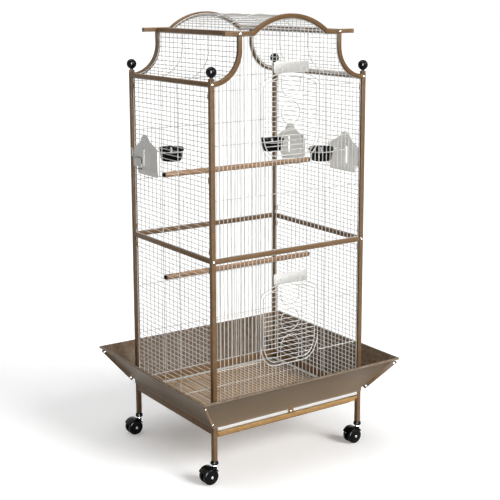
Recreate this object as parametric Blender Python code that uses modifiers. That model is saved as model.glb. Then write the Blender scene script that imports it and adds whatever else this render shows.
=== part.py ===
"""Pagoda top bird cage: tube frame, welded wire panels, doors, feeders, seed skirt, tray and casters.

Metres, +Z up. The floor is z = 0, the origin is under the middle of the cage, and the front faces -Y.
"""
from math import asin, atan2, cos, degrees, hypot, pi, radians, sin, sqrt

import bmesh
import bpy
from mathutils import Matrix, Vector, geometry

# Overall layout, measured between tube centres. Each stage stands on the one below it
postSpanX = 0.600
postSpanY = 0.508
midRailHeight = 0.7363
shoulderRise = 0.5564
topRailRise = 0.1519
touchGap = 0.0003

# Tubes
postSize = 0.016
postTopRise = 0.0113
railSize = 0.014
tubeEdge = 0.0012
boltHeadRadius = 0.0042
boltHeadHeight = 0.0024
boltSunk = 0.0010

# Pagoda outline
sideCurveRadius = 0.104
topRailOverhang = 0.057
archHalfChord = 0.1445
archRise = 0.0524

# Casters
casterHeight = 0.072
casterTrail = 0.022
wheelRadius = 0.027
wheelWidth = 0.013
wheelEdge = 0.004
axleRadius = 0.003
webThickness = 0.012
webRadius = 0.017
hoodGap = 0.0015
hoodThickness = 0.002
hoodReach = 62
stemRadius = 0.004
collarRadius = 0.0075
collarRise = 0.023
collarHeight = 0.010
neckHalf = 0.007
runningGap = 0.0006

# Finials
ballRadius = 0.017
ballNeckRadius = 0.005
ballNeckHeight = 0.010
ballCollarRadius = 0.0075
ballCollarHeight = 0.003

# Base and skirt
baseRailTop = 0.203
baseRailHeight = 0.041
skirtBottom = 0.199
skirtLip = 0.012
skirtRim = 0.317
skirtReach = 0.1026
skirtThickness = 0.0012
rimRollRadius = 0.004
skirtEndGap = 0.005
skirtStripWidth = 0.014
skirtStripMargin = 0.010
skirtBoltInset = 0.016
skirtBoltRadius = 0.0042

# Wire work
wirePitch = 0.015875
barSize = 0.0025
edgeWire = 0.0035
crossWire = 0.0028
crossWireGap = 0.0004
crossWiresAboveMid = (0.194, 0.367)
crossWireBelowShoulder = 0.0204
crossWiresBelowMid = (0.189, 0.363)
sideStiffener = 0.052

# Front doors
doorOpeningHeight = 0.2765
doorGap = 0.009
doorFlatHalf = 0.060
doorTaperHeight = 0.083
doorTopRadius = 0.222
doorShoulderRadius = 0.018
upperDoorAboveMid = 0.3055
lowerDoorBelowMid = 0.3855
doorBarColumns = 7.5
doorStiffener = 0.050
ornamentRingRadius = 0.037
ornamentRingHeight = 0.148
ornamentBow = 0.037
ornamentBowGap = 0.014
hingeLoopRadius = 0.0026
hingeLoopWire = 0.0018
hingeLoopWidth = 0.003
hingeLoopTab = 0.0024
hingeLoopPlace = 2
latchPlateWidth = 0.138
latchPlateHeight = 0.037
latchPlateDrop = 0.001
latchPlateGap = 0.0004
doorStiffenerRise = 0.027
latchPlateThickness = 0.0012
latchPlateCorner = 0.006
latchLoopPlace = 0.048
latchLoopWidth = 0.024
latchLoopHeight = 0.022
latchLoopWire = 0.0024

# Feeder doors and cups
feederHinge = 0.0695
feederHingeOut = 0.0074
feederPlateAboveMid = 0.2227
feederPlateShoulderRise = 0.105
feederPlateLap = 0.008
feederOpeningHeight = 0.095
feederJamb = 0.0045
feederDomeRadius = 0.031
feederPlateStart = 0.0055
feederPlateEnd = 0.1485
feederTabEnd = 0.1745
feederTabRise = 0.023
feederTabHeight = 0.058
feederPlateThickness = 0.0014
feederPinRadius = 0.0026
feederPinGap = 0.0004
feederBarrelRise = 0.021
feederBarrelHeight = 0.069
feederKnuckleHeight = 0.0056
feederSlotPlace = 0.0985
feederSlotWidth = 0.006
feederSlotRise = 0.039
feederSlotHeight = 0.048
cupInset = 0.088
cupAcross = 0.0755
cupRimRadius = 0.044
cupBaseRadius = 0.031
cupRimRise = 0.089
cupDepth = 0.046
cupWall = 0.002
cupLipWidth = 0.005
cupLipThickness = 0.0025
cupRingWire = 0.0035
cupRingGap = 0.0006
cupArmSpread = 0.022

# Perches
perchRadius = 0.0095
perchDepth = 0.042
upperPerchAboveMid = 0.2377
lowerPerchBelowMid = 0.1108
perchBoltRadius = 0.0028
perchWasherRadius = 0.0079
perchWasherThickness = 0.0016
perchHeadRadius = 0.0050
perchHeadHeight = 0.0030

# Slide-out grille, tray and runners
grilleBarHeight = 0.012
grilleBarDepth = 0.009
grilleBandWidth = 0.014
grilleLift = 0.0004
grilleCrossWires = 2
trayHeight = 0.0163
trayDrop = 0.0038
trayWall = 0.0014
slideGap = 0.0006
trayFrontRise = 0.0004
trayFrontOut = 0.0085
trayFrontThickness = 0.003
runnerLedge = 0.010
runnerSheet = 0.0012

# Pull tab in front of the grille's bar
tabTopWidth = 0.016
tabBottomWidth = 0.026
tabThickness = 0.0014
tabRivetRadius = 0.003
tabRivetHeight = 0.0012

halfX = postSpanX / 2
halfY = postSpanY / 2
postInner = postSize / 2 + touchGap
railInner = railSize / 2 + touchGap
panelHalfX = halfX - postInner
panelHalfY = halfY - postInner
shoulderHeight = midRailHeight + shoulderRise
topRailHeight = shoulderHeight + topRailRise
curveCentreHeight = shoulderHeight + sideCurveRadius
curveTopX = halfX - sideCurveRadius
archRadius = (archHalfChord ** 2 + archRise ** 2) / (2 * archRise)
archCentreHeight = topRailHeight + archRise - archRadius
wireBack = barSize / 2 + crossWireGap
wireFront = wireBack + crossWire
footBottom = baseRailTop - baseRailHeight
lowerPanelBottom = baseRailTop + touchGap
lowerPanelTop = midRailHeight - railInner
upperPanelBottom = midRailHeight + railInner
sidePanelTop = shoulderHeight - railInner
feederPlateBottom = midRailHeight + feederPlateAboveMid
feederPlateShoulder = feederPlateBottom + feederPlateShoulderRise
feederOpeningBottom = feederPlateBottom + feederPlateLap
feederBarrelBottom = feederPlateBottom + feederBarrelRise
cupRimHeight = feederPlateBottom + cupRimRise
lipFront = postSize / 2 + touchGap + skirtThickness
slideHalfX = panelHalfX - runnerSheet - slideGap
slideBack = panelHalfY - runnerSheet - slideGap
grilleBottom = skirtBottom - skirtLip - touchGap - grilleBarHeight
combBottom = grilleBottom + grilleLift
trayTop = grilleBottom - trayDrop
trayBottom = trayTop - trayHeight

colours = {
    "bronze": ((0.185, 0.110, 0.062, 1), 0.42, 0.45),
    "pearl": ((0.80, 0.78, 0.73, 1), 0.38, 0.15),
    "zinc": ((0.48, 0.47, 0.45, 1), 0.45, 0.55),
    "black": ((0.012, 0.012, 0.012, 1), 0.16, 0.0),
    "skirt": ((0.235, 0.195, 0.160, 1), 0.40, 0.50),
    "tray": ((0.46, 0.31, 0.15, 1), 0.38, 0.50),
    "beech": ((0.56, 0.34, 0.19, 1), 0.60, 0.0),
}

for item in list(bpy.data.objects):
    bpy.data.objects.remove(item, do_unlink=True)

cage = bpy.data.collections.new("pagoda_bird_cage")
cutters = bpy.data.collections.new("cutters")
bpy.context.scene.collection.children.link(cage)
bpy.context.scene.collection.children.link(cutters)

# Each face of the cage as a frame: u runs right as seen from outside, v runs up, w points outward
frontFrame = Matrix(((1, 0, 0, 0), (0, 0, -1, -halfY), (0, 1, 0, 0), (0, 0, 0, 1)))
backFrame = Matrix(((-1, 0, 0, 0), (0, 0, 1, halfY), (0, 1, 0, 0), (0, 0, 0, 1)))
leftFrame = Matrix(((0, 0, -1, -halfX), (-1, 0, 0, 0), (0, 1, 0, 0), (0, 0, 0, 1)))
rightFrame = Matrix(((0, 0, 1, halfX), (1, 0, 0, 0), (0, 1, 0, 0), (0, 0, 0, 1)))
middleFrame = Matrix(((1, 0, 0, 0), (0, 0, -1, 0), (0, 1, 0, 0), (0, 0, 0, 1)))
floorFrame = Matrix.Identity(4)


def material(name, finish):
    colour, roughness, metallic = colours[finish]
    result = bpy.data.materials.new(name)
    result.use_nodes = True
    shader = result.node_tree.nodes["Principled BSDF"]
    shader.inputs["Base Color"].default_value = colour
    shader.inputs["Roughness"].default_value = roughness
    shader.inputs["Metallic"].default_value = metallic
    return result


def meshObject(name, mesh, collection):
    result = bpy.data.objects.new(name, mesh)
    collection.objects.link(result)
    return result


def finish(item, finishName, origin=(0, 0, 0), parent=None, smooth=None):
    """Give a node its material, and put its origin where the piece turns or stands."""
    item.data.materials.clear()
    item.data.materials.append(material(item.name + "_paint", finishName))
    shift = Vector(origin)
    item.data.transform(Matrix.Translation(-shift))
    item.location = shift
    if parent:
        item.parent = parent
        item.location = shift - parent.matrix_world.translation
    if smooth:
        item.data.shade_smooth()
        item.data.set_sharp_from_angle(angle=radians(smooth))
    bpy.context.view_layer.update()
    return item


def unite(item, *others, operation="UNION"):
    """Join pieces to an item, or cut them out of it, and keep them in the cutters collection."""
    for other in others:
        modifier = item.modifiers.new(operation.lower(), "BOOLEAN")
        modifier.operation = operation
        modifier.solver = "EXACT"
        modifier.object = other
        other.hide_render = True
        other.display_type = "WIRE"
    return item


def flatPiece(name, loops, low, high, frame, collection=cage):
    """Fill an outline round its holes, and extrude it between two levels w of a face frame."""
    points = []
    rings = []
    for loop in loops:
        corners = [p for p, q in zip(loop, loop[1:] + loop[:1]) if hypot(p[0] - q[0], p[1] - q[1]) > 1e-7]
        area = sum(p[0] * q[1] - q[0] * p[1] for p, q in zip(corners, corners[1:] + corners[:1]))
        corners = corners if area > 0 else corners[::-1]
        rings.append(range(len(points), len(points) + len(corners)))
        points += [Vector(corner) for corner in corners]
    spots, _, faces, _, _, owners = geometry.delaunay_2d_cdt(points, [], rings, 1, 1e-8)
    work = bmesh.new()
    vertices = [work.verts.new((u, v, low)) for u, v in spots]
    for face, owner in zip(faces, owners):
        if owner == [0]:
            work.faces.new([vertices[index] for index in face])
    raised = bmesh.ops.extrude_face_region(work, geom=work.faces[:])
    upper = [item for item in raised["geom"] if isinstance(item, bmesh.types.BMVert)]
    bmesh.ops.translate(work, verts=upper, vec=(0, 0, high - low))
    bmesh.ops.recalc_face_normals(work, faces=work.faces)
    mesh = bpy.data.meshes.new(name)
    work.to_mesh(mesh)
    work.free()
    mesh.transform(frame)
    return meshObject(name, mesh, collection)


def weld(mesh):
    work = bmesh.new()
    work.from_mesh(mesh)
    bmesh.ops.remove_doubles(work, verts=work.verts, dist=1e-6)
    bmesh.ops.recalc_face_normals(work, faces=work.faces)
    work.to_mesh(mesh)
    work.free()


def box(name, low, high, edge=0.0, frame=floorFrame, collection=cage):
    """A box between two corners of a face frame, with its edges eased by one flat."""
    mesh = bpy.data.meshes.new(name)
    work = bmesh.new()
    bmesh.ops.create_cube(work, size=1)
    middle = [(a + b) / 2 for a, b in zip(low, high)]
    size = [b - a for a, b in zip(low, high)]
    place = frame @ Matrix.Translation(middle) @ Matrix.Diagonal((*size, 1))
    bmesh.ops.transform(work, matrix=place, verts=work.verts)
    if edge:
        bmesh.ops.bevel(work, geom=work.edges[:], offset=edge, segments=1, affect="EDGES")
    bmesh.ops.recalc_face_normals(work, faces=work.faces)
    work.to_mesh(mesh)
    work.free()
    return meshObject(name, mesh, collection)


def rod(name, start, end, radius, sides, collection=cutters):
    """A round rod between two points."""
    mesh = bpy.data.meshes.new(name)
    work = bmesh.new()
    axis = Vector(end) - Vector(start)
    bmesh.ops.create_cone(work, cap_ends=True, segments=sides, radius1=radius, radius2=radius,
                          depth=axis.length)
    turn = axis.to_track_quat("Z", "Y").to_matrix().to_4x4()
    place = Matrix.Translation((Vector(start) + Vector(end)) / 2) @ turn
    bmesh.ops.transform(work, matrix=place, verts=work.verts)
    work.to_mesh(mesh)
    work.free()
    return meshObject(name, mesh, collection)


def turned(name, profile, steps, frame, collection=cage):
    """Turn a profile of (radius, height) points round the frame's third axis."""
    mesh = bpy.data.meshes.new(name)
    points = [(radius, 0, height) for radius, height in profile]
    mesh.from_pydata(points, [(i, i + 1) for i in range(len(points) - 1)], [])
    source = meshObject(name + "_profile", mesh, collection)
    screw = source.modifiers.new("turn", "SCREW")
    screw.steps = steps
    screw.render_steps = steps
    screw.use_merge_vertices = True
    screw.merge_threshold = 1e-5
    bpy.context.view_layer.update()
    evaluated = source.evaluated_get(bpy.context.evaluated_depsgraph_get())
    result = bpy.data.meshes.new_from_object(evaluated)
    bpy.data.objects.remove(source)
    result.transform(frame)
    weld(result)
    return meshObject(name, result, collection)


def arc(centre, radius, start, end, count):
    """Points on an arc, in degrees from +u towards +v, with both ends."""
    step = (end - start) / count
    angles = [radians(start + step * i) for i in range(count + 1)]
    return [(centre[0] + radius * cos(a), centre[1] + radius * sin(a)) for a in angles]


def circle(centre, radius, count):
    return arc(centre, radius, 0, 360, count)[:-1]


def rectangle(left, right, bottom, top):
    return [(left, bottom), (right, bottom), (right, top), (left, top)]


def mirrored(points):
    return [(-u, v) for u, v in reversed(points)]


def between(chain, low, high):
    """The part of a chain of points, sorted along its first coordinate, that lies from low to high."""
    def at(place):
        for (a, p), (b, q) in zip(chain, chain[1:]):
            if a <= place <= b and b > a:
                return (place, p + (q - p) * (place - a) / (b - a))
        nearest = chain[0] if place < chain[0][0] else chain[-1]
        return (place, nearest[1])
    inner = [point for point in chain if low < point[0] < high]
    return [at(low)] + inner + [at(high)]


def evenPlaces(low, high, pitch):
    """Bar centres that divide a span evenly, at the nearest spacing to the pitch, without its ends."""
    count = round((high - low) / pitch)
    return [low + (high - low) * i / count for i in range(1, count)]


def combHoles(places, low, high, lowerChain, upperChain, blocks=()):
    """Gaps between parallel bars. A block is (from, to, its lower chain, its upper chain or None)."""
    edges = [low] + [edge for place in places for edge in (place - barSize / 2, place + barSize / 2)] + [high]
    holes = []
    for start, end in zip(edges[::2], edges[1::2]):
        middle = (start + end) / 2
        bounds = [lowerChain]
        for blockStart, blockEnd, blockLower, blockUpper in blocks:
            if blockStart < middle < blockEnd:
                bounds += [blockLower, blockUpper]
        bounds.append(upperChain)
        for lower, upper in zip(bounds[::2], bounds[1::2]):
            if lower and upper:
                holes.append(between(lower, start, end) + between(upper, start, end)[::-1])
    return holes


def swapped(loops):
    return [[(v, u) for u, v in loop] for loop in loops]


def staple(name, along, across, low, high, feet, frame):
    """A cross wire in front of the bars, with feet that reach down to the wires it is welded to.

    along is "u" or "v", across is the wire's place on the other axis, and feet are (start, end) runs.
    """
    profile = [(high, wireFront), (low, wireFront), (low, wireBack)]
    for start, end in feet:
        profile += [(start, wireBack), (start, 0), (end, 0), (end, wireBack)]
    profile.append((high, wireBack))
    turn = levelSlice(across) if along == "u" else uprightSlice(across)
    return flatPiece(name, [profile], -crossWire / 2, crossWire / 2, frame @ turn, cutters)


def levelSlice(v):
    """Turns a flat piece drawn in (u, w) to lie level at height v of a face frame."""
    return Matrix(((1, 0, 0, 0), (0, 0, -1, v), (0, 1, 0, 0), (0, 0, 0, 1)))


def uprightSlice(u):
    """Turns a flat piece drawn in (v, w) to stand upright at place u of a face frame."""
    return Matrix(((0, 0, 1, u), (1, 0, 0, 0), (0, 1, 0, 0), (0, 0, 0, 1)))


def footAt(place):
    return (place - crossWire / 2, place + crossWire / 2)


def pagodaEdge(offset, side):
    """The pagoda outline from left to right, offset inward from the tubes, that starts at x = -side."""
    radius = sideCurveRadius + offset
    curve = arc((halfX, curveCentreHeight), radius, 270 - degrees(asin((halfX - side) / radius)), 180, 8)
    right = curve + [(halfX - radius, topRailHeight - offset)]
    return [(-u, v) for u, v in right] + archCrown(-offset) + right[::-1]


def archCrown(offset):
    """The arch from left to right, offset outward, between its crossings with the offset top rail."""
    radius = archRadius + offset
    reach = degrees(asin(sqrt(radius ** 2 - (topRailHeight + offset - archCentreHeight) ** 2) / radius))
    return arc((0, archCentreHeight), radius, 90 + reach, 90 - reach, 12)


def pagodaTop(inset):
    """The upper edge of a front panel, inset from the tubes of the pagoda frame."""
    return pagodaEdge(railInner + inset, panelHalfX - inset)


def doorOutline(inset, bottom):
    """Lower and upper edges of a door shape from left to right, inset from the clear opening."""
    half = doorOpeningHalf - inset
    taper = doorTaperHeight
    corner = [(doorFlatHalf + (half - doorFlatHalf) * sin(a), bottom + taper - (taper - inset) * cos(a))
              for a in [pi / 2 * i / 6 for i in range(7)]]
    crownCentre = bottom + doorOpeningHeight - doorTopRadius
    filletX = doorOpeningHalf - doorShoulderRadius
    filletRise = sqrt((doorTopRadius - doorShoulderRadius) ** 2 - filletX ** 2)
    lean = atan2(filletX, filletRise) * 180 / pi
    fillet = arc((filletX, crownCentre + filletRise), doorShoulderRadius - inset, 0, 90 - lean, 3)
    crown = arc((0, crownCentre), doorTopRadius - inset, 90 - lean, 90 + lean, 8)
    lower = mirrored(corner) + corner
    upper = [(-u, v) for u, v in fillet[:-1]] + crown[::-1] + fillet[::-1][1:]
    return lower, upper


frontPlaces = evenPlaces(-panelHalfX + edgeWire / 2, panelHalfX - edgeWire / 2, wirePitch)
frontStep = frontPlaces[1] - frontPlaces[0]
doorOpeningHalf = doorBarColumns * frontStep - edgeWire / 2


def frontPanel(name, frame, bottom, top, openingBottom, crossHeights):
    """A flat panel of upright bars. top is a function that gives the upper edge for an inset."""
    side = panelHalfX
    outline = [(-side, bottom), (side, bottom)] + top(0)[::-1]
    floor = [(-side, bottom + edgeWire), (side, bottom + edgeWire)]
    blocks = []
    loops = [outline]
    if openingBottom:
        lowerRim, upperRim = doorOutline(-edgeWire, openingBottom)
        blocks.append((-doorOpeningHalf, doorOpeningHalf, lowerRim, upperRim))
        lower, upper = doorOutline(0, openingBottom)
        loops.append(lower + upper[::-1])
    low = -side + edgeWire
    clear = doorOpeningHalf + edgeWire
    places = [place for place in frontPlaces if not openingBottom or abs(abs(place) - clear) > frontStep / 2]
    loops += frontHoles(places, low, floor, top(edgeWire), blocks, clear if openingBottom else None)
    panel = flatPiece(name, loops, -barSize / 2, barSize / 2, frame)
    ends = footAt(-side + edgeWire / 2), footAt(side - edgeWire / 2)
    for height in crossHeights:
        wireName = f"{name}_cross_{round(height * 1000)}"
        if openingBottom and openingBottom < height < openingBottom + doorOpeningHeight:
            jamb = doorOpeningHalf + edgeWire / 2
            near = footAt(-jamb)
            far = footAt(jamb)
            left = staple(wireName + "_l", "u", height, ends[0][0], near[1], [ends[0], near], frame)
            right = staple(wireName + "_r", "u", height, far[0], ends[1][1], [far, ends[1]], frame)
            unite(panel, left, right)
        else:
            unite(panel, staple(wireName, "u", height, ends[0][0], ends[1][1], ends, frame))
    return finish(panel, "pearl")


def frontHoles(places, low, floor, topChain, blocks, clear):
    """Gaps between upright bars; beside a door opening the jamb wires take the place of two bars."""
    if clear is None:
        return combHoles(places, low, -low, floor, topChain)
    left = [place for place in places if place < -clear]
    middle = [place for place in places if abs(place) < clear]
    right = [place for place in places if place > clear]
    return (combHoles(left, low, -clear, floor, topChain)
            + combHoles(middle, -doorOpeningHalf, doorOpeningHalf, floor, topChain, blocks)
            + combHoles(right, clear, -low, floor, topChain))


def levelTop(height):
    def top(inset):
        return [(-panelHalfX + inset, height - inset), (panelHalfX - inset, height - inset)]
    return top


upperCrossHeights = [midRailHeight + rise for rise in crossWiresAboveMid]
upperCrossHeights.append(shoulderHeight - crossWireBelowShoulder)
lowerCrossHeights = [midRailHeight - drop for drop in crossWiresBelowMid]


def spot(frame, u, v, w):
    return frame @ Vector((u, v, w))


def sidePanel(name, frame, bottom, top, openings=()):
    """A flat panel of level bars. openings holds -1 or +1 for each end that has a feeder opening."""
    side = panelHalfY
    inner = side - edgeWire
    jamb = feederHinge + feederJamb
    places = evenPlaces(bottom + edgeWire / 2, top - edgeWire / 2, wirePitch)
    ends = [[(bottom, end), (top, end)] for end in (-inner, inner)]
    loops = [rectangle(-side, side, bottom, top)]
    low = bottom + edgeWire
    high = top - edgeWire
    if openings:
        sill = nearest(places, feederOpeningBottom) + barSize / 2
        head = nearest(places, feederOpeningBottom + feederOpeningHeight) - barSize / 2
        for end in openings:
            near, far = sorted((end * jamb, end * inner))
            loops.append(rectangle(near, far, sill, head))
        left = edgeWire - jamb if -1 in openings else -inner
        right = jamb - edgeWire if 1 in openings else inner
        middle = [[(bottom, end), (top, end)] for end in (left, right)]
        loops += swapped(combHoles([p for p in places if p < sill - barSize], low, sill - barSize, *ends))
        loops += swapped(combHoles([p for p in places if sill < p < head], sill, head, *middle))
        loops += swapped(combHoles([p for p in places if p > head + barSize], head + barSize, high, *ends))
    else:
        loops += swapped(combHoles(places, low, high, *ends))
    panel = flatPiece(name, loops, -barSize / 2, barSize / 2, frame)
    feet = [footAt(bottom + edgeWire / 2), footAt(top - edgeWire / 2)]
    for across, mark in ((-sideStiffener, "a"), (sideStiffener, "b")):
        unite(panel, staple(f"{name}_upright_{mark}", "v", across, feet[0][0], feet[1][1], feet, frame))
    for end in openings:
        unite(panel, *feederKnuckles(f"{name}_{'l' if end < 0 else 'r'}", frame, end))
    return finish(panel, "pearl")


def nearest(places, wanted):
    return min(places, key=lambda place: abs(place - wanted))


def feederKnuckles(name, frame, end):
    """Two eyes on the jamb wire, just below and above the barrel of the feeder door."""
    pieces = []
    low = feederBarrelBottom - feederPinGap - feederKnuckleHeight
    high = feederBarrelBottom + feederBarrelHeight + feederPinGap
    for mark, bottom in (("low", low), ("high", high)):
        top = bottom + feederKnuckleHeight
        start = spot(frame, end * feederHinge, bottom, feederHingeOut)
        stop = spot(frame, end * feederHinge, top, feederHingeOut)
        pieces.append(rod(f"{name}_eye_{mark}", start, stop, feederPinRadius, 8))
        near, far = sorted((end * feederHinge, end * (feederHinge + feederJamb - touchGap)))
        arm = box(f"{name}_arm_{mark}", (near, bottom + touchGap, 0), (far, top - touchGap, feederHingeOut),
                  frame=frame, collection=cutters)
        pieces.append(arm)
    return pieces


def post(name, x, y, front):
    """A corner post with the bolts that hold the tubes, on its front or back face."""
    half = postSize / 2
    top = shoulderHeight + postTopRise
    item = box(name, (x - half, y - half, casterHeight), (x + half, y + half, top), tubeEdge)
    for height in (shoulderHeight, midRailHeight):
        unite(item, boltHead(f"{name}_bolt_{round(height * 1000)}", front, x if y < 0 else -x, height, half))
    return finish(item, "bronze", (x, y, casterHeight))


def boltHead(name, frame, u, v, level):
    low = spot(frame, u, v, level - boltSunk)
    return rod(name, low, spot(frame, u, v, level + boltHeadHeight), boltHeadRadius, 8)


def finial(name, x, y):
    """A ball on a short neck that caps a post."""
    bottom = shoulderHeight + postTopRise + touchGap
    start = degrees(asin(ballNeckRadius / ballRadius)) - 90
    ball = [(u, v) for u, v in arc((0, 0), ballRadius, start, 90, 6)]
    centre = bottom + ballNeckHeight - ball[0][1]
    profile = [(0, bottom), (ballCollarRadius, bottom), (ballCollarRadius, bottom + ballCollarHeight),
               (ballNeckRadius, bottom + ballCollarHeight)]
    profile += [(u, v + centre) for u, v in ball[:-1]] + [(0, centre + ballRadius)]
    item = turned(name, profile, 12, Matrix.Translation((x, y, 0)))
    return finish(item, "black", (x, y, bottom), smooth=40)


def topFrame(name, frame):
    """Top rail, arch and the two curved tubes of one end, cut as one welded frame."""
    half = railSize / 2
    radius = sideCurveRadius - half
    curve = arc((halfX, curveCentreHeight), radius, 270 - degrees(asin(postInner / radius)), 180, 8)
    end = curveTopX + topRailOverhang
    under = topRailHeight - half
    outer = curve + [(curveTopX + half, under), (end, under), (end, topRailHeight + half)]
    upper = [(-u, v) for u, v in outer] + archCrown(half) + outer[::-1]
    item = flatPiece(name, [pagodaEdge(half, panelHalfX) + upper[::-1]], -half, half, frame)
    for side in (-1, 1):
        mark = "l" if side < 0 else "r"
        unite(item, boltHead(f"{name}_bolt_{mark}", frame, side * curveTopX, topRailHeight, half))
    return finish(item, "bronze")


def rail(name, low, high):
    middle = [(a + b) / 2 for a, b in zip(low, high)]
    return finish(box(name, low, high, tubeEdge), "bronze", middle)


def sideCurve(side):
    """Place and outward direction along a side curve, from the shoulder rail up to the top rail."""
    start = asin(railInner / sideCurveRadius)
    bend = (pi / 2 - start) * sideCurveRadius
    length = bend + topRailHeight - railInner - curveCentreHeight

    def place(distance):
        if distance > bend:
            return (side * curveTopX, curveCentreHeight + distance - bend), (side, 0)
        angle = 1.5 * pi - start - distance / sideCurveRadius
        point = (side * (halfX + sideCurveRadius * cos(angle)),
                 curveCentreHeight + sideCurveRadius * sin(angle))
        return point, (-side * cos(angle), -sin(angle))
    return place, length


def vault():
    """Place and outward direction over the flats and the arch, from the left top rail to the right one."""
    spread = asin(archHalfChord / archRadius)
    flat = curveTopX - railInner - archHalfChord
    bend = 2 * spread * archRadius
    length = 2 * flat + bend

    def place(distance):
        if distance < flat:
            return (distance - flat - archHalfChord, topRailHeight), (0, 1)
        if distance > flat + bend:
            return (distance - flat - bend + archHalfChord, topRailHeight), (0, 1)
        angle = (distance - flat) / archRadius - spread
        outward = (sin(angle), cos(angle))
        return (archRadius * outward[0], archCentreHeight + archRadius * outward[1]), outward
    return place, length


def bentPanel(name, place, length):
    """Level bars that run front to back between two bent edge wires, with two bent cross wires outside."""
    bars = evenPlaces(edgeWire / 2, length - edgeWire / 2, wirePitch)
    rows = [0, edgeWire] + [bar + side for bar in bars for side in (-barSize / 2, barSize / 2)]
    rows += [length - edgeWire, length]
    columns = (-panelHalfY, edgeWire - panelHalfY, panelHalfY - edgeWire, panelHalfY)
    work = bmesh.new()
    bmesh.ops.create_grid(work, x_segments=len(rows) - 1, y_segments=3, size=1)
    gaps = []
    for face in work.faces:
        middle = (face.calc_center_median() + Vector((1, 1, 0))) / 2
        if int(middle.y * 3) == 1 and int(middle.x * (len(rows) - 1)) % 2:
            gaps.append(face)
    bmesh.ops.delete(work, geom=gaps, context="FACES")
    for vertex in work.verts:
        row = round((vertex.co.x + 1) / 2 * (len(rows) - 1))
        column = round((vertex.co.y + 1) / 2 * 3)
        (x, z), _ = place(rows[row])
        vertex.co = (x, columns[column], z)
    mesh = bpy.data.meshes.new(name)
    work.to_mesh(mesh)
    work.free()
    item = meshObject(name, mesh, cage)
    sheet = item.modifiers.new("bars", "SOLIDIFY")
    sheet.thickness = barSize
    sheet.offset = 0
    sheet.use_even_offset = True
    stops = [crossWire] + bars + [length - crossWire]
    ends = (0, length)

    def level(distance, out):
        (x, z), (nx, nz) = place(distance)
        return (x + out * nx, z + out * nz)
    outline = [level(stop, wireFront) for stop in [ends[0]] + stops + [ends[1]]]
    outline += [level(ends[1], 0), level(stops[-1], 0)]
    outline += [level(stop, wireBack) for stop in stops[::-1]]
    outline += [level(stops[0], 0), level(ends[0], 0)]
    for mark, depth in (("a", -panelHalfY / 3), ("b", panelHalfY / 3)):
        low = -depth - crossWire / 2
        wire = flatPiece(f"{name}_cross_{mark}", [outline], low, low + crossWire, middleFrame, cutters)
        unite(item, wire)
    return finish(item, "pearl")


def frontDoor(name, bottom):
    """A drop-down door: level bars in a shaped edge wire, two uprights and the ring and bow ornament."""
    lower, upper = doorOutline(doorGap, bottom)
    loops = [lower + upper[::-1]]
    inset = doorGap + edgeWire
    lower, upper = doorOutline(inset, bottom)
    right = [(v, u) for u, v in lower if u > 0] + [(v, u) for u, v in upper[::-1] if u > -1e-6]
    left = [(v, -u) for v, u in right]
    top = bottom + doorOpeningHeight
    places = evenPlaces(bottom + inset - edgeWire / 2, top - inset + edgeWire / 2, wirePitch)
    loops += swapped(combHoles(places, bottom + inset, top - inset, left, right))
    item = flatPiece(name, loops, -barSize / 2, barSize / 2, frontFrame)
    sill = bottom + doorGap + edgeWire / 2
    for side, mark in ((-1, "l"), (1, "r")):
        feet = [footAt(sill), footAt(doorTopAt(bottom, doorStiffener))]
        end = top + doorStiffenerRise
        upright = f"{name}_upright_{mark}"
        unite(item, staple(upright, "v", side * doorStiffener, feet[0][0], end, feet, frontFrame))
        pivot = bottom - edgeWire / 2
        opening = degrees(asin(hingeLoopTab / 2 / (hingeLoopRadius + hingeLoopWire)))
        eye = arc((pivot, 0), hingeLoopRadius + hingeLoopWire, opening, 360 - opening, 8)
        eye += [(sill, -hingeLoopTab / 2), (sill, hingeLoopTab / 2)]
        slices = frontFrame @ uprightSlice(side * hingeLoopPlace * frontStep)
        hole = circle((pivot, 0), hingeLoopRadius, 8)
        reach = hingeLoopWidth / 2
        unite(item, flatPiece(f"{name}_eye_{mark}", [eye, hole], -reach, reach, slices, cutters))
    ring = bottom + ornamentRingHeight
    loops = [circle((0, ring), ornamentRingRadius + side * crossWire / 2, 16) for side in (1, -1)]
    unite(item, flatPiece(name + "_ring", loops, wireBack, wireFront, frontFrame, cutters))
    seats = [place for place in places if abs(place - ring) < ornamentRingRadius * 0.8]
    for seat in (seats[0], seats[-1]):
        across = sqrt(ornamentRingRadius ** 2 - (seat - ring) ** 2)
        for side in (-1, 1):
            unite(item, foot(f"{name}_seat_{round(seat * 1000)}_{side}", side * across, seat))
    reach = ornamentRingRadius + ornamentBowGap + ornamentBow
    ends = (sill - crossWire / 2, doorTopAt(bottom, ornamentBow) + crossWire / 2)
    for mark, centre, end, start in (("low", ring - reach, ends[0], 0), ("high", ring + reach, ends[1], 180)):
        bow = arc((0, centre), ornamentBow + crossWire / 2, start, start + 180, 6)
        bow = [(bow[0][0], end)] + bow + [(bow[-1][0], end)]
        inner = arc((0, centre), ornamentBow - crossWire / 2, start + 180, start, 6)
        bow += [(inner[0][0], end)] + inner + [(inner[-1][0], end)]
        unite(item, flatPiece(f"{name}_bow_{mark}", [bow], wireBack, wireFront, frontFrame, cutters))
        for side in (-1, 1):
            seat = end + crossWire / 2 if mark == "low" else end - crossWire / 2
            unite(item, foot(f"{name}_foot_{mark}_{side}", side * ornamentBow, seat))
    return finish(item, "pearl", spot(frontFrame, 0, bottom - edgeWire / 2, 0))


def foot(name, u, v):
    """A short weld that joins a front wire to the wire behind it."""
    half = crossWire / 2 - touchGap / 2
    low = (u - half, v - half, 0)
    return box(name, low, (u + half, v + half, wireBack + half), frame=frontFrame, collection=cutters)


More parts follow.
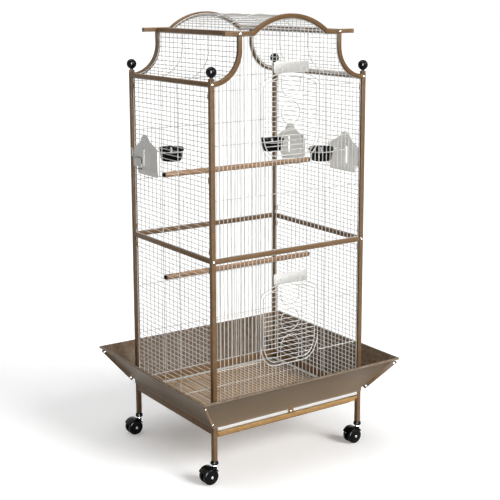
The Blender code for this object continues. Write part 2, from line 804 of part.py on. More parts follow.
def doorTopAt(bottom, u):
    """Height of the middle of a door's top wire at place u."""
    radius = doorTopRadius - doorGap - edgeWire / 2
    return bottom + doorOpeningHeight - doorTopRadius + sqrt(radius ** 2 - u ** 2)


def latchPlate(name, door, bottom):
    """The plate across the top of a door, with the two fixed spring loops that catch the cage front."""
    low = wireFront + latchPlateGap
    high = low + latchPlateThickness
    base = bottom + doorOpeningHeight - latchPlateDrop
    half = latchPlateWidth / 2 - latchPlateCorner
    corners = []
    upper = latchPlateHeight - latchPlateCorner
    for turn, u, v in ((0, half, upper), (90, -half, upper), (180, -half, latchPlateCorner),
                       (270, half, latchPlateCorner)):
        corners += arc((u, base + v), latchPlateCorner, turn, turn + 90, 2)
    item = flatPiece(name, [corners], low, high, frontFrame)
    outer = latchLoopWidth / 2
    inner = outer - latchLoopWire
    for side, mark in ((-1, "l"), (1, "r")):
        middle = side * latchLoopPlace
        centre = base + latchLoopHeight - outer
        loop = [(middle + outer, base)] + arc((middle, centre), outer, 0, 180, 5) + [(middle - outer, base)]
        loop += [(middle - inner, base)] + arc((middle, centre), inner, 180, 0, 5) + [(middle + inner, base)]
        wire = f"{name}_loop_{mark}"
        unite(item, flatPiece(wire, [loop], high - touchGap, high + latchLoopWire, frontFrame, cutters))
    return finish(item, "zinc", spot(frontFrame, 0, bottom - edgeWire / 2, 0), door)


def feederDoor(name, frame, end):
    """A swing-out plate with a hinge barrel, a slot, and the ring and arms that carry a cup inside."""
    def across(distance):
        return end * (feederHinge + distance)

    low = feederHingeOut - feederPinRadius
    high = low + feederPlateThickness
    barrelTop = feederBarrelBottom + feederBarrelHeight
    tabBottom = feederPlateBottom + feederTabRise
    tabTop = tabBottom + feederTabHeight
    plate = [(feederPlateStart, feederPlateBottom), (feederPlateEnd, feederPlateBottom),
             (feederPlateEnd, tabBottom), (feederTabEnd, tabBottom), (feederTabEnd, tabTop),
             (feederPlateEnd, tabTop), (feederPlateEnd, feederPlateShoulder)]
    plate += arc((cupAcross, feederPlateShoulder), feederDomeRadius, 0, 180, 7)
    plate += [(feederPlateStart, feederPlateShoulder), (feederPlateStart, barrelTop), (0, barrelTop),
              (0, feederBarrelBottom), (feederPlateStart, feederBarrelBottom)]
    slotBottom = feederPlateBottom + feederSlotRise
    slot = rectangle(feederSlotPlace - feederSlotWidth / 2, feederSlotPlace + feederSlotWidth / 2,
                     slotBottom, slotBottom + feederSlotHeight)
    loops = [[(across(u), v) for u, v in loop] for loop in (plate, slot)]
    item = flatPiece(name, loops, low, high, frame)
    start = spot(frame, across(0), feederBarrelBottom, feederHingeOut)
    stop = spot(frame, across(0), barrelTop, feederHingeOut)
    unite(item, rod(name + "_barrel", start, stop, feederPinRadius, 8))
    inner = cupRimRadius - cupLipWidth + cupRingGap
    outer = inner + cupRingWire
    ringTop = cupRimHeight - cupLipThickness - touchGap
    centre = (across(cupAcross), -cupInset)
    slices = frame @ levelSlice(ringTop - cupRingWire / 2)
    rings = [circle(centre, outer, 16), circle(centre, inner, 16)]
    ring = flatPiece(name + "_ring", rings, -cupRingWire / 2, cupRingWire / 2, slices, cutters)
    unite(item, ring)
    reach = sqrt(((inner + outer) / 2) ** 2 - cupArmSpread ** 2)
    half = cupRingWire / 2 - touchGap / 2
    for side, mark in ((-1, "l"), (1, "r")):
        u = across(cupAcross) + side * cupArmSpread
        bottom = ringTop - cupRingWire / 2 - half
        tip = low + feederPlateThickness / 2
        near = (u - half, bottom, reach - cupInset)
        far = (u + half, bottom + 2 * half, tip)
        arm = box(f"{name}_arm_{mark}", near, far, frame=frame, collection=cutters)
        unite(item, arm)
    return finish(item, "zinc", spot(frame, across(0), feederPlateBottom, feederHingeOut))


def cup(name, door, frame, end):
    """A seed cup that hangs by its lip in the ring of a feeder door."""
    body = cupRimRadius - cupLipWidth
    profile = [(0, -cupDepth), (cupBaseRadius, -cupDepth), (body, -cupLipThickness),
               (cupRimRadius, -cupLipThickness), (cupRimRadius, 0), (body - cupWall, 0),
               (cupBaseRadius - cupWall, cupWall - cupDepth), (0, cupWall - cupDepth)]
    place = spot(frame, end * (feederHinge + cupAcross), cupRimHeight, -cupInset)
    item = turned(name, profile, 16, Matrix.Translation(place))
    return finish(item, "black", place, door, smooth=40)


def perch(name, wanted, bottom, top):
    """A wooden rod between the sides, bolted through a gap between the level wires."""
    places = evenPlaces(bottom + edgeWire / 2, top - edgeWire / 2, wirePitch)
    height = nearest([(a + b) / 2 for a, b in zip(places, places[1:])], wanted)
    washer = halfX + barSize / 2 + touchGap
    head = washer + perchWasherThickness
    rodEnd = halfX - barSize / 2 - touchGap
    half = [(perchRadius, rodEnd), (perchBoltRadius, rodEnd), (perchBoltRadius, washer),
            (perchWasherRadius, washer), (perchWasherRadius, head), (perchHeadRadius, head),
            (perchHeadRadius, head + perchHeadHeight), (0, head + perchHeadHeight)]
    profile = [(radius, -x) for radius, x in half[::-1]] + half
    turn = Matrix(((0, 0, 1, 0), (1, 0, 0, perchDepth), (0, 1, 0, height), (0, 0, 0, 1)))
    return finish(turned(name, profile, 10, turn), "beech", (0, perchDepth, height), smooth=40)


def skirtProfile():
    """The skirt's section as (w, z) down its middle: lip, slope with two strip corners, rolled rim."""
    lipOut = postSize / 2 + touchGap + skirtThickness / 2
    roll = rimRollRadius - skirtThickness / 2
    centre = Vector((skirtReach - rimRollRadius, skirtRim - rimRollRadius))
    foot = Vector((lipOut, skirtBottom))
    span = centre - foot
    heading = atan2(span.y, span.x) + asin(roll / span.length)
    run = sqrt(span.length ** 2 - roll ** 2)
    slope = Vector((cos(heading), sin(heading)))
    stripLow = foot + slope * skirtStripMargin
    stripHigh = foot + slope * (run - 2 * rimRollRadius - skirtStripMargin)
    start = degrees(heading) + 90
    curl = arc((centre.x, centre.y), roll, start, start - 280, 7)
    return [(lipOut, skirtBottom - skirtLip), tuple(foot), tuple(stripLow), tuple(stripHigh)] + curl, slope


def skirt(name, frame, half, wraps=()):
    """One side of the skirt. wraps holds -1 or +1 for each end that folds onto the next side."""
    profile, slope = skirtProfile()
    wrapOut = (skirtThickness + touchGap) / slope.y
    work = bmesh.new()
    bmesh.ops.create_grid(work, x_segments=1, y_segments=len(profile) - 1, size=1)
    fold = {}
    for vertex in work.verts:
        end = 1 if vertex.co.x > 0 else -1
        index = round((vertex.co.y + 1) / 2 * (len(profile) - 1))
        w, z = profile[index]
        vertex.co = (end * (half + w + (wrapOut if end in wraps else -skirtEndGap)), z, w)
        fold[end, index] = vertex
    for end in wraps:
        edge = next(edge for edge in work.edges if set(edge.verts) == {fold[end, 2], fold[end, 3]})
        made = bmesh.ops.extrude_edge_only(work, edges=[edge])
        tips = [item for item in made["geom"] if isinstance(item, bmesh.types.BMVert)]
        bmesh.ops.translate(work, verts=tips, vec=(0, 0, -skirtStripWidth))
    bmesh.ops.recalc_face_normals(work, faces=work.faces)
    mesh = bpy.data.meshes.new(name)
    work.to_mesh(mesh)
    work.free()
    mesh.transform(frame)
    item = meshObject(name, mesh, cage)
    sheet = item.modifiers.new("sheet", "SOLIDIFY")
    sheet.thickness = skirtThickness
    sheet.offset = 0
    sheet.use_even_offset = True
    low = Vector(profile[2])
    high = Vector(profile[3])
    for end in wraps:
        for mark, along in (("low", skirtBoltInset), ("high", (high - low).length - skirtBoltInset)):
            w, z = low + (high - low) * (along / (high - low).length)
            outward = Vector((end * slope.y, -slope.x, 0))
            middle = Vector((end * (half + w + wrapOut), z, w - skirtStripWidth / 2))
            head = middle + outward * (skirtThickness / 2 + boltHeadHeight)
            unite(item, rod(f"{name}_bolt_{mark}_{end}", frame @ middle, frame @ head, skirtBoltRadius, 8))
    return item


def pullTab(name):
    """A flared tab in front of the skirt's lip, riveted to the middle of the grille's front bar."""
    low = lipFront + touchGap
    high = low + tabThickness
    top = skirtBottom - touchGap
    outline = [(-tabTopWidth / 2, top), (-tabBottomWidth / 2, grilleBottom),
               (tabBottomWidth / 2, grilleBottom),
               (tabTopWidth / 2, top)]
    item = flatPiece(name, [outline], low, high, frontFrame)
    rivet = grilleBottom + grilleBarHeight / 2
    inner = spot(frontFrame, 0, rivet, grilleBarDepth + touchGap)
    outer = spot(frontFrame, 0, rivet, high + tabRivetHeight)
    unite(item, rod(name + "_rivet", inner, outer, tabRivetRadius, 8))
    return finish(item, "bronze", spot(frontFrame, 0, rivet, high))


def floorGrille(name):
    """The slide-out floor grille: bars front to back in flat border bands, behind a front bar."""
    low = grilleBandWidth - slideHalfX
    places = evenPlaces(low - barSize / 2, barSize / 2 - low, wirePitch)
    front = [(low, edgeWire - halfY), (-low, edgeWire - halfY)]
    back = [(low, slideBack - grilleBandWidth), (-low, slideBack - grilleBandWidth)]
    loops = [rectangle(-slideHalfX, slideHalfX, -halfY - grilleBarDepth / 2, slideBack)]
    loops += combHoles(places, low, -low, front, back)
    item = flatPiece(name, loops, combBottom, combBottom + barSize, floorFrame)
    foot = slideHalfX - grilleBandWidth / 2
    feet = [footAt(-foot), footAt(foot)]
    level = Matrix.Translation((0, 0, combBottom + barSize / 2))
    for index in range(grilleCrossWires):
        depth = -halfY + (slideBack + halfY) * (index + 1) / (grilleCrossWires + 1)
        unite(item, staple(f"{name}_cross_{index}", "u", depth, feet[0][0], feet[1][1], feet, level))
    reach = panelHalfX - touchGap
    bar = box(name + "_bar", (-reach, -halfY - grilleBarDepth, grilleBottom),
              (reach, -halfY, grilleBottom + grilleBarHeight), tubeEdge, collection=cutters)
    unite(item, bar)
    return finish(item, "pearl", (0, 0, combBottom))


def seedTray(name):
    """The slide-out tray: a shallow pan behind a wider front plate."""
    front = -halfY - trayFrontOut
    pan = front + trayFrontThickness / 2
    item = box(name, (-slideHalfX, pan, trayBottom), (slideHalfX, slideBack, trayTop))
    hollowFront = pan + trayWall + trayFrontThickness / 2
    hollow = box(name + "_hollow", (trayWall - slideHalfX, hollowFront, trayBottom + trayWall),
                 (slideHalfX - trayWall, slideBack - trayWall, trayTop + trayHeight), collection=cutters)
    reach = panelHalfX - touchGap
    plate = box(name + "_front", (-reach, front, trayBottom - trayFrontRise),
                (reach, front + trayFrontThickness, trayTop + trayFrontRise), tubeEdge / 2,
                collection=cutters)
    unite(item, hollow, operation="DIFFERENCE")
    unite(item, plate)
    return finish(item, "tray", (0, 0, trayBottom))


def trayRunners(name):
    """A folded sheet round three sides, with a ledge under the tray and one under the grille."""
    def ledge(title, width, inset, low, high, collection=cutters):
        outX = panelHalfX - inset
        outY = panelHalfY - inset
        inX = panelHalfX - width
        inY = panelHalfY - width
        start = inset - panelHalfY
        outline = [(-outX, start), (-inX, start), (-inX, inY), (inX, inY), (inX, start), (outX, start),
                   (outX, outY), (-outX, outY)]
        return flatPiece(title, [outline], low, high, floorFrame, collection)

    trayLedge = trayBottom - touchGap
    grilleLedge = combBottom - touchGap
    item = ledge(name, runnerSheet, 0, trayLedge - runnerSheet, combBottom + barSize, cage)
    inset = touchGap / 2
    unite(item, ledge(name + "_tray", runnerLedge, inset, trayLedge - runnerSheet + inset, trayLedge))
    unite(item, ledge(name + "_grille", runnerLedge, inset, grilleLedge - runnerSheet, grilleLedge))
    return finish(item, "zinc", (0, 0, trayBottom))


def caster(name, x, y):
    """Hooded twin-wheel caster: hood, web with the axle bore, neck, collar and stem under a post."""
    frame = Matrix.Translation((x, y, 0)) @ middleFrame
    centre = (-casterTrail, wheelRadius)
    inner = wheelRadius + hoodGap
    first = 90 - hoodReach
    last = 90 + hoodReach
    half = webThickness / 2 + runningGap + wheelWidth
    hood = arc(centre, inner + hoodThickness, first, last, 5) + arc(centre, inner, last, first, 5)
    item = flatPiece(name, [hood], -half, half, frame)
    web = arc(centre, inner + hoodThickness / 2, first, last, 5)
    web += arc(centre, webRadius, last, first + 360, 6)
    bore = circle(centre, axleRadius + runningGap, 8)
    unite(item, flatPiece(name + "_web", [web, bore], -webThickness / 2, webThickness / 2, frame, cutters))
    collar = wheelRadius + collarRise
    side = webThickness / 2 - runningGap
    low = (-neckHalf, wheelRadius + webRadius, -side)
    high = (neckHalf, collar + collarHeight / 4, side)
    unite(item, box(name + "_neck", low, high, frame=frame, collection=cutters))
    unite(item, rod(name + "_collar", (x, y, collar), (x, y, collar + collarHeight), collarRadius, 8))
    stemTop = (x, y, casterHeight - touchGap)
    unite(item, rod(name + "_stem", (x, y, collar + collarHeight / 2), stemTop, stemRadius, 8))
    return finish(item, "black", (x, y, casterHeight), smooth=40)


def casterWheel(name, carrier, x, y):
    """Twin wheels and their axle, turned as one piece."""
    inner = webThickness / 2 + runningGap
    outer = inner + wheelWidth
    half = [(axleRadius, inner), (wheelRadius, inner), (wheelRadius, outer - wheelEdge),
            (wheelRadius - wheelEdge, outer), (0, outer)]
    profile = [(radius, -height) for radius, height in half[::-1]] + half
    place = Matrix.Translation((x - casterTrail, y, wheelRadius)) @ middleFrame
    return finish(turned(name, profile, 12, place), "black", place.translation, carrier, smooth=30)


for depth, face, y in (("front", frontFrame, -halfY), ("back", backFrame, halfY)):
    for hand, x in (("left", -halfX), ("right", halfX)):
        post(f"post_{depth}_{hand}", x, y, face)
        finial(f"finial_{depth}_{hand}", x, y)
        carrier = caster(f"caster_{depth}_{hand}", x, y)
        casterWheel(f"wheel_{depth}_{hand}", carrier, x, y)
    topFrame(f"top_frame_{depth}", face)
    upperOpening = midRailHeight + upperDoorAboveMid if depth == "front" else None
    lowerOpening = midRailHeight - lowerDoorBelowMid if depth == "front" else None
    frontPanel(f"panel_{depth}_upper", face, upperPanelBottom, pagodaTop, upperOpening, upperCrossHeights)
    frontPanel(f"panel_{depth}_lower", face, lowerPanelBottom, levelTop(lowerPanelTop), lowerOpening,
               lowerCrossHeights)
    rail(f"mid_rail_{depth}", (-panelHalfX, y - railSize / 2, midRailHeight - railSize / 2),
         (panelHalfX, y + railSize / 2, midRailHeight + railSize / 2))

for hand, face, side in (("left", leftFrame, -1), ("right", rightFrame, 1)):
    half = railSize / 2
    endFrames = halfY - railInner
    x = side * curveTopX
    rail(f"top_rail_{hand}", (x - half, -endFrames, topRailHeight - half),
         (x + half, endFrames, topRailHeight + half))
    x = side * halfX
    for level, z in (("shoulder", shoulderHeight), ("mid", midRailHeight)):
        rail(f"{level}_rail_{hand}", (x - half, -panelHalfY, z - half), (x + half, panelHalfY, z + half))
    half = postSize / 2
    rail(f"base_rail_{hand}", (x - half, -panelHalfY, footBottom), (x + half, panelHalfY, baseRailTop))
    feederEnds = (-1,) if hand == "left" else (-1, 1)
    sidePanel(f"panel_{hand}_upper", face, upperPanelBottom, sidePanelTop, feederEnds)
    sidePanel(f"panel_{hand}_lower", face, lowerPanelBottom, lowerPanelTop)
    bentPanel(f"roof_{hand}", *sideCurve(side))
rail("base_rail_back", (-panelHalfX, halfY - postSize / 2, footBottom),
     (panelHalfX, halfY + postSize / 2, baseRailTop))
bentPanel("roof_middle", *vault())

for level, rise in (("upper", upperDoorAboveMid), ("lower", -lowerDoorBelowMid)):
    door = frontDoor(f"door_{level}", midRailHeight + rise)
    latchPlate(f"latch_plate_{level}", door, midRailHeight + rise)

feederPlaces = (("left", leftFrame, -1), ("right_front", rightFrame, -1), ("right_back", rightFrame, 1))
for place, face, end in feederPlaces:
    carrier = feederDoor(f"feeder_door_{place}", face, end)
    cup(f"cup_{place}", carrier, face, end)

perch("perch_upper", midRailHeight + upperPerchAboveMid, upperPanelBottom, sidePanelTop)
perch("perch_lower", midRailHeight - lowerPerchBelowMid, lowerPanelBottom, lowerPanelTop)

finish(skirt("skirt_front", frontFrame, halfX, (-1,)), "skirt")
finish(skirt("skirt_back", backFrame, halfX, (-1, 1)), "skirt")
finish(skirt("skirt_left", leftFrame, halfY), "skirt")
finish(skirt("skirt_right", rightFrame, halfY, (-1,)), "skirt")

floorGrille("floor_grille")
seedTray("seed_tray")
trayRunners("tray_runners")
pullTab("grille_pull_tab")
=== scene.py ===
# Pagoda top bird cage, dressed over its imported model: square tubes, round wire panels, doors,
# feeders, skirt, grille, tray and casters. Metres, floor at z = 0, front towards -Y.
from math import acos, asin, atan2, cos, pi, radians, sin, sqrt

import bmesh
import bpy
from mathutils import Matrix, Vector


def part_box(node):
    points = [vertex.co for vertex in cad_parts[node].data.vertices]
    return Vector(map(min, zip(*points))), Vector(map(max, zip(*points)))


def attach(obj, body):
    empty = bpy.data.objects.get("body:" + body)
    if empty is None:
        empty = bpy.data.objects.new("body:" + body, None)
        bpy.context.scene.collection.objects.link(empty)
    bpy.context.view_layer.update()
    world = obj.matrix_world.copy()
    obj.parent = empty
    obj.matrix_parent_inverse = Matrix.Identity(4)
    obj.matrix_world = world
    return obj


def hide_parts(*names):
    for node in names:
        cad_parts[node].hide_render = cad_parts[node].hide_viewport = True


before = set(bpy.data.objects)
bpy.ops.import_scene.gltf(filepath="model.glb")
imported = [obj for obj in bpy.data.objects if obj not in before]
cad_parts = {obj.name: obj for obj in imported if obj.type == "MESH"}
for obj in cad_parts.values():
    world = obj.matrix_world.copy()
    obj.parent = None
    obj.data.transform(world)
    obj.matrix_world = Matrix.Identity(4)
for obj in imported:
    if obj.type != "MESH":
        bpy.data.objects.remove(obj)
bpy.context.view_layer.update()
print("frame loaded:", len(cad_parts), "nodes")

visual = bpy.data.collections.new("cage_visual")
bpy.context.scene.collection.children.link(visual)

# Main places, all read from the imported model
postLow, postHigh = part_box("post_front_left")
postHalf = (postHigh.x - postLow.x) / 2
halfX = -(postLow.x + postHigh.x) / 2
halfY = postHalf - postHigh.y
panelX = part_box("panel_front_upper")[1].x
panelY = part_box("panel_left_upper")[1].y
posts = {f"{depth}_{hand}": (x, y) for depth, y in (("front", -halfY), ("back", halfY))
         for hand, x in (("left", -halfX), ("right", halfX))}


def middleZ(node):
    low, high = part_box(node)
    return (low.z + high.z) / 2


midZ = middleZ("mid_rail_left")
shoulderZ = middleZ("shoulder_rail_left")
topRailZ = middleZ("top_rail_left")
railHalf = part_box("mid_rail_left")[1].z - midZ
topRailX = sum(corner.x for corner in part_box("top_rail_right")) / 2
curveRadius = halfX - topRailX
curveZ = shoulderZ + curveRadius


def facePlace(turn, out):  # u to the right as seen from outside, v up, w outward
    across = Matrix(((1, 0, 0, 0), (0, 0, -1, -out), (0, 1, 0, 0), (0, 0, 0, 1)))
    return Matrix.Rotation(radians(turn), 4, "Z") @ across


faces = {
    "front": facePlace(0, halfY),
    "right": facePlace(90, halfX),
    "back": facePlace(180, halfY),
    "left": facePlace(-90, halfX),
}


# Materials

paint = {
    "bronze": {"colour": (0.166, 0.090, 0.037), "roughness": 0.40, "gloss": 0.10, "vary": 0.26,
               "grain": 420, "wear": (0.36, 0.25, 0.16), "dust": 0.08},
    "pearl": {"colour": (0.70, 0.69, 0.66), "roughness": 0.34, "gloss": 0.20, "vary": 0.05,
              "grain": 700, "dust": 0.08},
    # the skirt's darker colour for faces that look up is painted shade, not a second coat
    "skirt": {"colour": (0.222, 0.164, 0.109), "roughness": 0.36, "gloss": 0.05, "vary": 0.14,
              "grain": 520, "wear": (0.52, 0.45, 0.37), "above": (0.092, 0.044, 0.012)},
    "tray": {"colour": (0.33, 0.165, 0.045), "roughness": 0.36, "gloss": 0.16, "vary": 0.12,
             "grain": 520, "wear": (0.66, 0.46, 0.22), "dust": 0.20},
    "band": {"colour": (0.60, 0.61, 0.57), "roughness": 0.36, "gloss": 0.25, "vary": 0.10,
             "grain": 600, "dust": 0.10},
}
# the two ramp ends for faces that look up set where the skirt's painted shade starts and is full
coat = {"dust": (0.62, 0.58, 0.52, 1), "cloud": 7.0, "fleckLow": 0.35, "fleckHigh": 0.68,
        "roughSpread": 0.16, "aboveStart": -0.05, "aboveFull": 0.15, "levelStart": 0.3}
# the inner colour and the two ramp ends after it are painted light: faces that look inward are made
# lighter than the speckled outer face
zinc = {"light": (0.47, 0.46, 0.44, 1), "dark": (0.35, 0.345, 0.33, 1),
        "inner": (0.80, 0.79, 0.76, 1), "edge": (0.75, 0.74, 0.71, 1), "scale": 420.0,
        "speckLow": 0.42, "speckHigh": 0.60, "roughness": 0.45, "gloss": 0.30, "metallic": 0.35,
        "litInsideStart": -0.12, "litInsideFull": -0.20}
plastic = {
    "black": {"title": "black_gloss_plastic", "colour": (0.002, 0.002, 0.0025, 1), "smooth": 0.05},
    "tyre": {"title": "black_tread_plastic", "colour": (0.003, 0.003, 0.0035, 1), "smooth": 0.12},
}
sheen = {"gloss": 0.10, "dull": 0.05, "swirl": 45.0, "fine": 900.0, "dust": 0.02,
         "dustColour": (0.30, 0.29, 0.27, 1)}
chrome = {"low": (0.62, 0.62, 0.61, 1), "high": (0.80, 0.80, 0.79, 1), "smooth": 0.10,
          "rough": 0.34, "roughness": 0.18, "gloss": 0.5, "marks": 600.0}
beech = {"dark": (0.29, 0.158, 0.078, 1), "light": (0.52, 0.325, 0.180, 1),
         "fleck": (0.23, 0.105, 0.045, 1), "roughness": 0.62, "gloss": 0.2,
         "grain": (4.0, 90.0, 90.0), "grainScale": 1.6, "grainLow": 0.36, "grainHigh": 0.66,
         "flecks": (120.0, 900.0, 900.0), "fleckLow": 0.60, "fleckHigh": 0.74, "fleckFull": 0.45}
bumps = {"coat": (0.12, 0.0002), "zinc": (0.25, 0.0003), "plastic": (0.05, 0.0001),
         "beech": (0.25, 0.0004)}


def addNode(tree, kind, inputs=None, **settings):
    node = tree.nodes.new("ShaderNode" + kind)
    for key, value in settings.items():
        setattr(node, key, value)
    for key, value in (inputs or {}).items():
        if isinstance(value, bpy.types.NodeSocket):
            tree.links.new(value, node.inputs[key])
        else:
            node.inputs[key].default_value = value
    return node


def newGroup(name, inputs, outputs):
    group = bpy.data.node_groups.new(name, "ShaderNodeTree")
    for title, kind, value in inputs:
        socket = group.interface.new_socket(title, in_out="INPUT", socket_type="NodeSocket" + kind)
        socket.default_value = value
    for title, kind in outputs:
        group.interface.new_socket(title, in_out="OUTPUT", socket_type="NodeSocket" + kind)
    return group, group.nodes.new("NodeGroupInput"), group.nodes.new("NodeGroupOutput")


def ownPlace(tree):  # metres from the piece's own origin, which rides with it
    return addNode(tree, "TexCoord").outputs["Object"]


def upward(tree):  # how far a face looks up, from -1 to 1
    normal = addNode(tree, "NewGeometry").outputs["Normal"]
    return addNode(tree, "SeparateXYZ", {0: normal}).outputs["Z"]


def noise(tree, place, scale, detail, **more):
    given = {"Vector": place, "Scale": scale, "Detail": detail, **more}
    return addNode(tree, "TexNoise", given).outputs["Fac"]


def ramp(tree, value, low, high, start=0.0, end=1.0):  # low gives start and high gives end
    given = {"Value": value, "From Min": low, "From Max": high, "To Min": start, "To Max": end}
    return addNode(tree, "MapRange", given).outputs["Result"]


def maths(tree, operation, first, second, third=0.0):
    return addNode(tree, "Math", {0: first, 1: second, 2: third}, operation=operation).outputs[0]


def powderCoatGroup():
    group, given, result = newGroup(
        "powderCoat",
        [("Colour", "Color", (0.5, 0.5, 0.5, 1)), ("Vary", "Float", 0.1), ("Grain", "Float", 500.0),
         ("Roughness", "Float", 0.4)],
        [("Colour", "Color"), ("Roughness", "Float"), ("Height", "Float")])
    place = ownPlace(group)
    cloud = noise(group, place, coat["cloud"], 3.0)
    grain = noise(group, place, given.outputs["Grain"], 2.0)
    fleck = ramp(group, grain, coat["fleckLow"], coat["fleckHigh"])
    centred = maths(group, "SUBTRACT", maths(group, "ADD", cloud, fleck), 1.0)
    amount = maths(group, "MULTIPLY", centred, given.outputs["Vary"])
    gain = maths(group, "ADD", amount, 1.0)
    tinted = addNode(group, "VectorMath", {0: given.outputs["Colour"]}, operation="SCALE")
    group.links.new(gain, tinted.inputs["Scale"])
    group.links.new(tinted.outputs[0], result.inputs["Colour"])
    rough = maths(group, "MULTIPLY_ADD", cloud, coat["roughSpread"], given.outputs["Roughness"])
    group.links.new(rough, result.inputs["Roughness"])
    group.links.new(grain, result.inputs["Height"])
    return group


def hammertoneGroup():
    group, given, result = newGroup(
        "hammertone",
        [("Light", "Color", (0.6, 0.6, 0.6, 1)), ("Dark", "Color", (0.4, 0.4, 0.4, 1)),
         ("Scale", "Float", 320.0)],
        [("Colour", "Color"), ("Height", "Float")])
    place = ownPlace(group)
    scale = given.outputs["Scale"]
    cells = addNode(group, "TexVoronoi", {"Vector": place, "Scale": scale}, feature="SMOOTH_F1")
    specks = noise(group, place, scale, 4.0)
    mask = ramp(group, specks, zinc["speckLow"], zinc["speckHigh"])
    colour = addNode(group, "Mix", {"Factor": mask}, data_type="RGBA")
    group.links.new(given.outputs["Dark"], colour.inputs[6])
    group.links.new(given.outputs["Light"], colour.inputs[7])
    group.links.new(colour.outputs[2], result.inputs["Colour"])
    group.links.new(cells.outputs["Distance"], result.inputs["Height"])
    return group


def edgeWearGroup():
    group, given, result = newGroup(
        "edgeWear",
        [("Low", "Float", 0.52), ("High", "Float", 0.60), ("Patch", "Float", 60.0)],
        [("Mask", "Float")])
    sharp = addNode(group, "NewGeometry").outputs["Pointiness"]
    edge = ramp(group, sharp, given.outputs["Low"], given.outputs["High"])
    place = ownPlace(group)
    patch = noise(group, place, given.outputs["Patch"], 2.0)
    group.links.new(maths(group, "MULTIPLY", edge, patch), result.inputs["Mask"])
    return group


def dustGroup():
    group, given, result = newGroup(
        "settledDust", [("Amount", "Float", 0.1), ("Patch", "Float", 25.0)], [("Mask", "Float")])
    level = ramp(group, upward(group), coat["levelStart"], 1.0)
    place = ownPlace(group)
    patch = noise(group, place, given.outputs["Patch"], 4.0)
    settled = maths(group, "MULTIPLY", level, patch)
    mask = maths(group, "MULTIPLY", settled, given.outputs["Amount"])
    group.links.new(mask, result.inputs["Mask"])
    return group


groups = {"coat": powderCoatGroup(), "hammer": hammertoneGroup(), "wear": edgeWearGroup(),
          "dust": dustGroup()}


def newMaterial(name, roughness, gloss, metallic=0.0):
    material = bpy.data.materials.new(name)
    material.use_nodes = True
    shader = material.node_tree.nodes["Principled BSDF"]
    shader.inputs["Roughness"].default_value = roughness
    shader.inputs["Metallic"].default_value = metallic
    shader.inputs["Specular IOR Level"].default_value = gloss
    return material, material.node_tree, shader


def useGroup(tree, name, **inputs):
    node = addNode(tree, "Group", node_tree=groups[name])
    for key, value in inputs.items():
        node.inputs[key].default_value = value
    return node


def blendColour(tree, mask, low, high):
    mix = addNode(tree, "Mix", {"Factor": mask}, data_type="RGBA")
    for socket, value in ((mix.inputs[6], low), (mix.inputs[7], high)):
        if isinstance(value, bpy.types.NodeSocket):
            tree.links.new(value, socket)
        else:
            socket.default_value = value
    return mix.outputs[2]


def roughen(tree, shader, height, name):
    strength, distance = bumps[name]
    bump = addNode(tree, "Bump", {"Height": height, "Strength": strength, "Distance": distance})
    tree.links.new(bump.outputs["Normal"], shader.inputs["Normal"])


def paintMaterial(name):  # powder coat, worn at its edges, a little dusty, and where given, with painted shade on faces that look up
    spec = paint[name]
    material, tree, shader = newMaterial(name + "_powder_coat", spec["roughness"], spec["gloss"])
    given = {"Vary": spec["vary"], "Grain": spec["grain"],
             "Roughness": spec["roughness"] - coat["roughSpread"] / 2}
    outer = useGroup(tree, "coat", Colour=(*spec["colour"], 1), **given)
    colour = outer.outputs["Colour"]
    if "above" in spec:  # painted shade: faces that look up get a darker colour, as the inside of the skirt falls in shade
        mask = ramp(tree, upward(tree), coat["aboveStart"], coat["aboveFull"])
        inner = useGroup(tree, "coat", Colour=(*spec["above"], 1), **given)
        colour = blendColour(tree, mask, colour, inner.outputs["Colour"])
    if "wear" in spec:
        mask = useGroup(tree, "wear").outputs["Mask"]
        colour = blendColour(tree, mask, colour, (*spec["wear"], 1))
    if "dust" in spec:
        mask = useGroup(tree, "dust", Amount=spec["dust"]).outputs["Mask"]
        colour = blendColour(tree, mask, colour, coat["dust"])
    tree.links.new(colour, shader.inputs["Base Color"])
    tree.links.new(outer.outputs["Roughness"], shader.inputs["Roughness"])
    roughen(tree, shader, outer.outputs["Height"], "coat")
    return material


def hammertoneMaterial():  # speckled grey sheet of the feeder doors and latch plates, with painted light on faces that look inward
    material, tree, shader = newMaterial("zinc_hammertone", zinc["roughness"], zinc["gloss"],
                                         zinc["metallic"])
    dents = useGroup(tree, "hammer", Light=zinc["light"], Dark=zinc["dark"], Scale=zinc["scale"])
    place = addNode(tree, "TexCoord")
    across = addNode(tree, "SeparateXYZ", {0: place.outputs["Object"]}).outputs["X"]
    facing = addNode(tree, "SeparateXYZ", {0: place.outputs["Normal"]}).outputs["X"]
    side = maths(tree, "MULTIPLY", across, facing)  # well below 0 on side faces that look inward
    # painted light: faces that look into the cage take the lighter inner colour
    inner = ramp(tree, side, zinc["litInsideStart"], zinc["litInsideFull"])
    sheet = blendColour(tree, inner, dents.outputs["Colour"], zinc["inner"])
    mask = useGroup(tree, "wear").outputs["Mask"]
    colour = blendColour(tree, mask, sheet, zinc["edge"])
    tree.links.new(colour, shader.inputs["Base Color"])
    roughen(tree, shader, dents.outputs["Height"], "zinc")
    return material


def glossMaterial(name):  # moulded plastic with faint dull swirls and a little dust
    spec = plastic[name]
    smooth = spec["smooth"]
    material, tree, shader = newMaterial(spec["title"], smooth, sheen["gloss"])
    place = ownPlace(tree)
    swirl = noise(tree, place, sheen["swirl"], 3.0, Distortion=0.6)
    rough = ramp(tree, swirl, 0.0, 1.0, smooth, smooth + sheen["dull"])
    tree.links.new(rough, shader.inputs["Roughness"])
    mask = useGroup(tree, "dust", Amount=sheen["dust"]).outputs["Mask"]
    colour = blendColour(tree, mask, spec["colour"], sheen["dustColour"])
    tree.links.new(colour, shader.inputs["Base Color"])
    roughen(tree, shader, noise(tree, place, sheen["fine"], 1.0), "plastic")
    return material


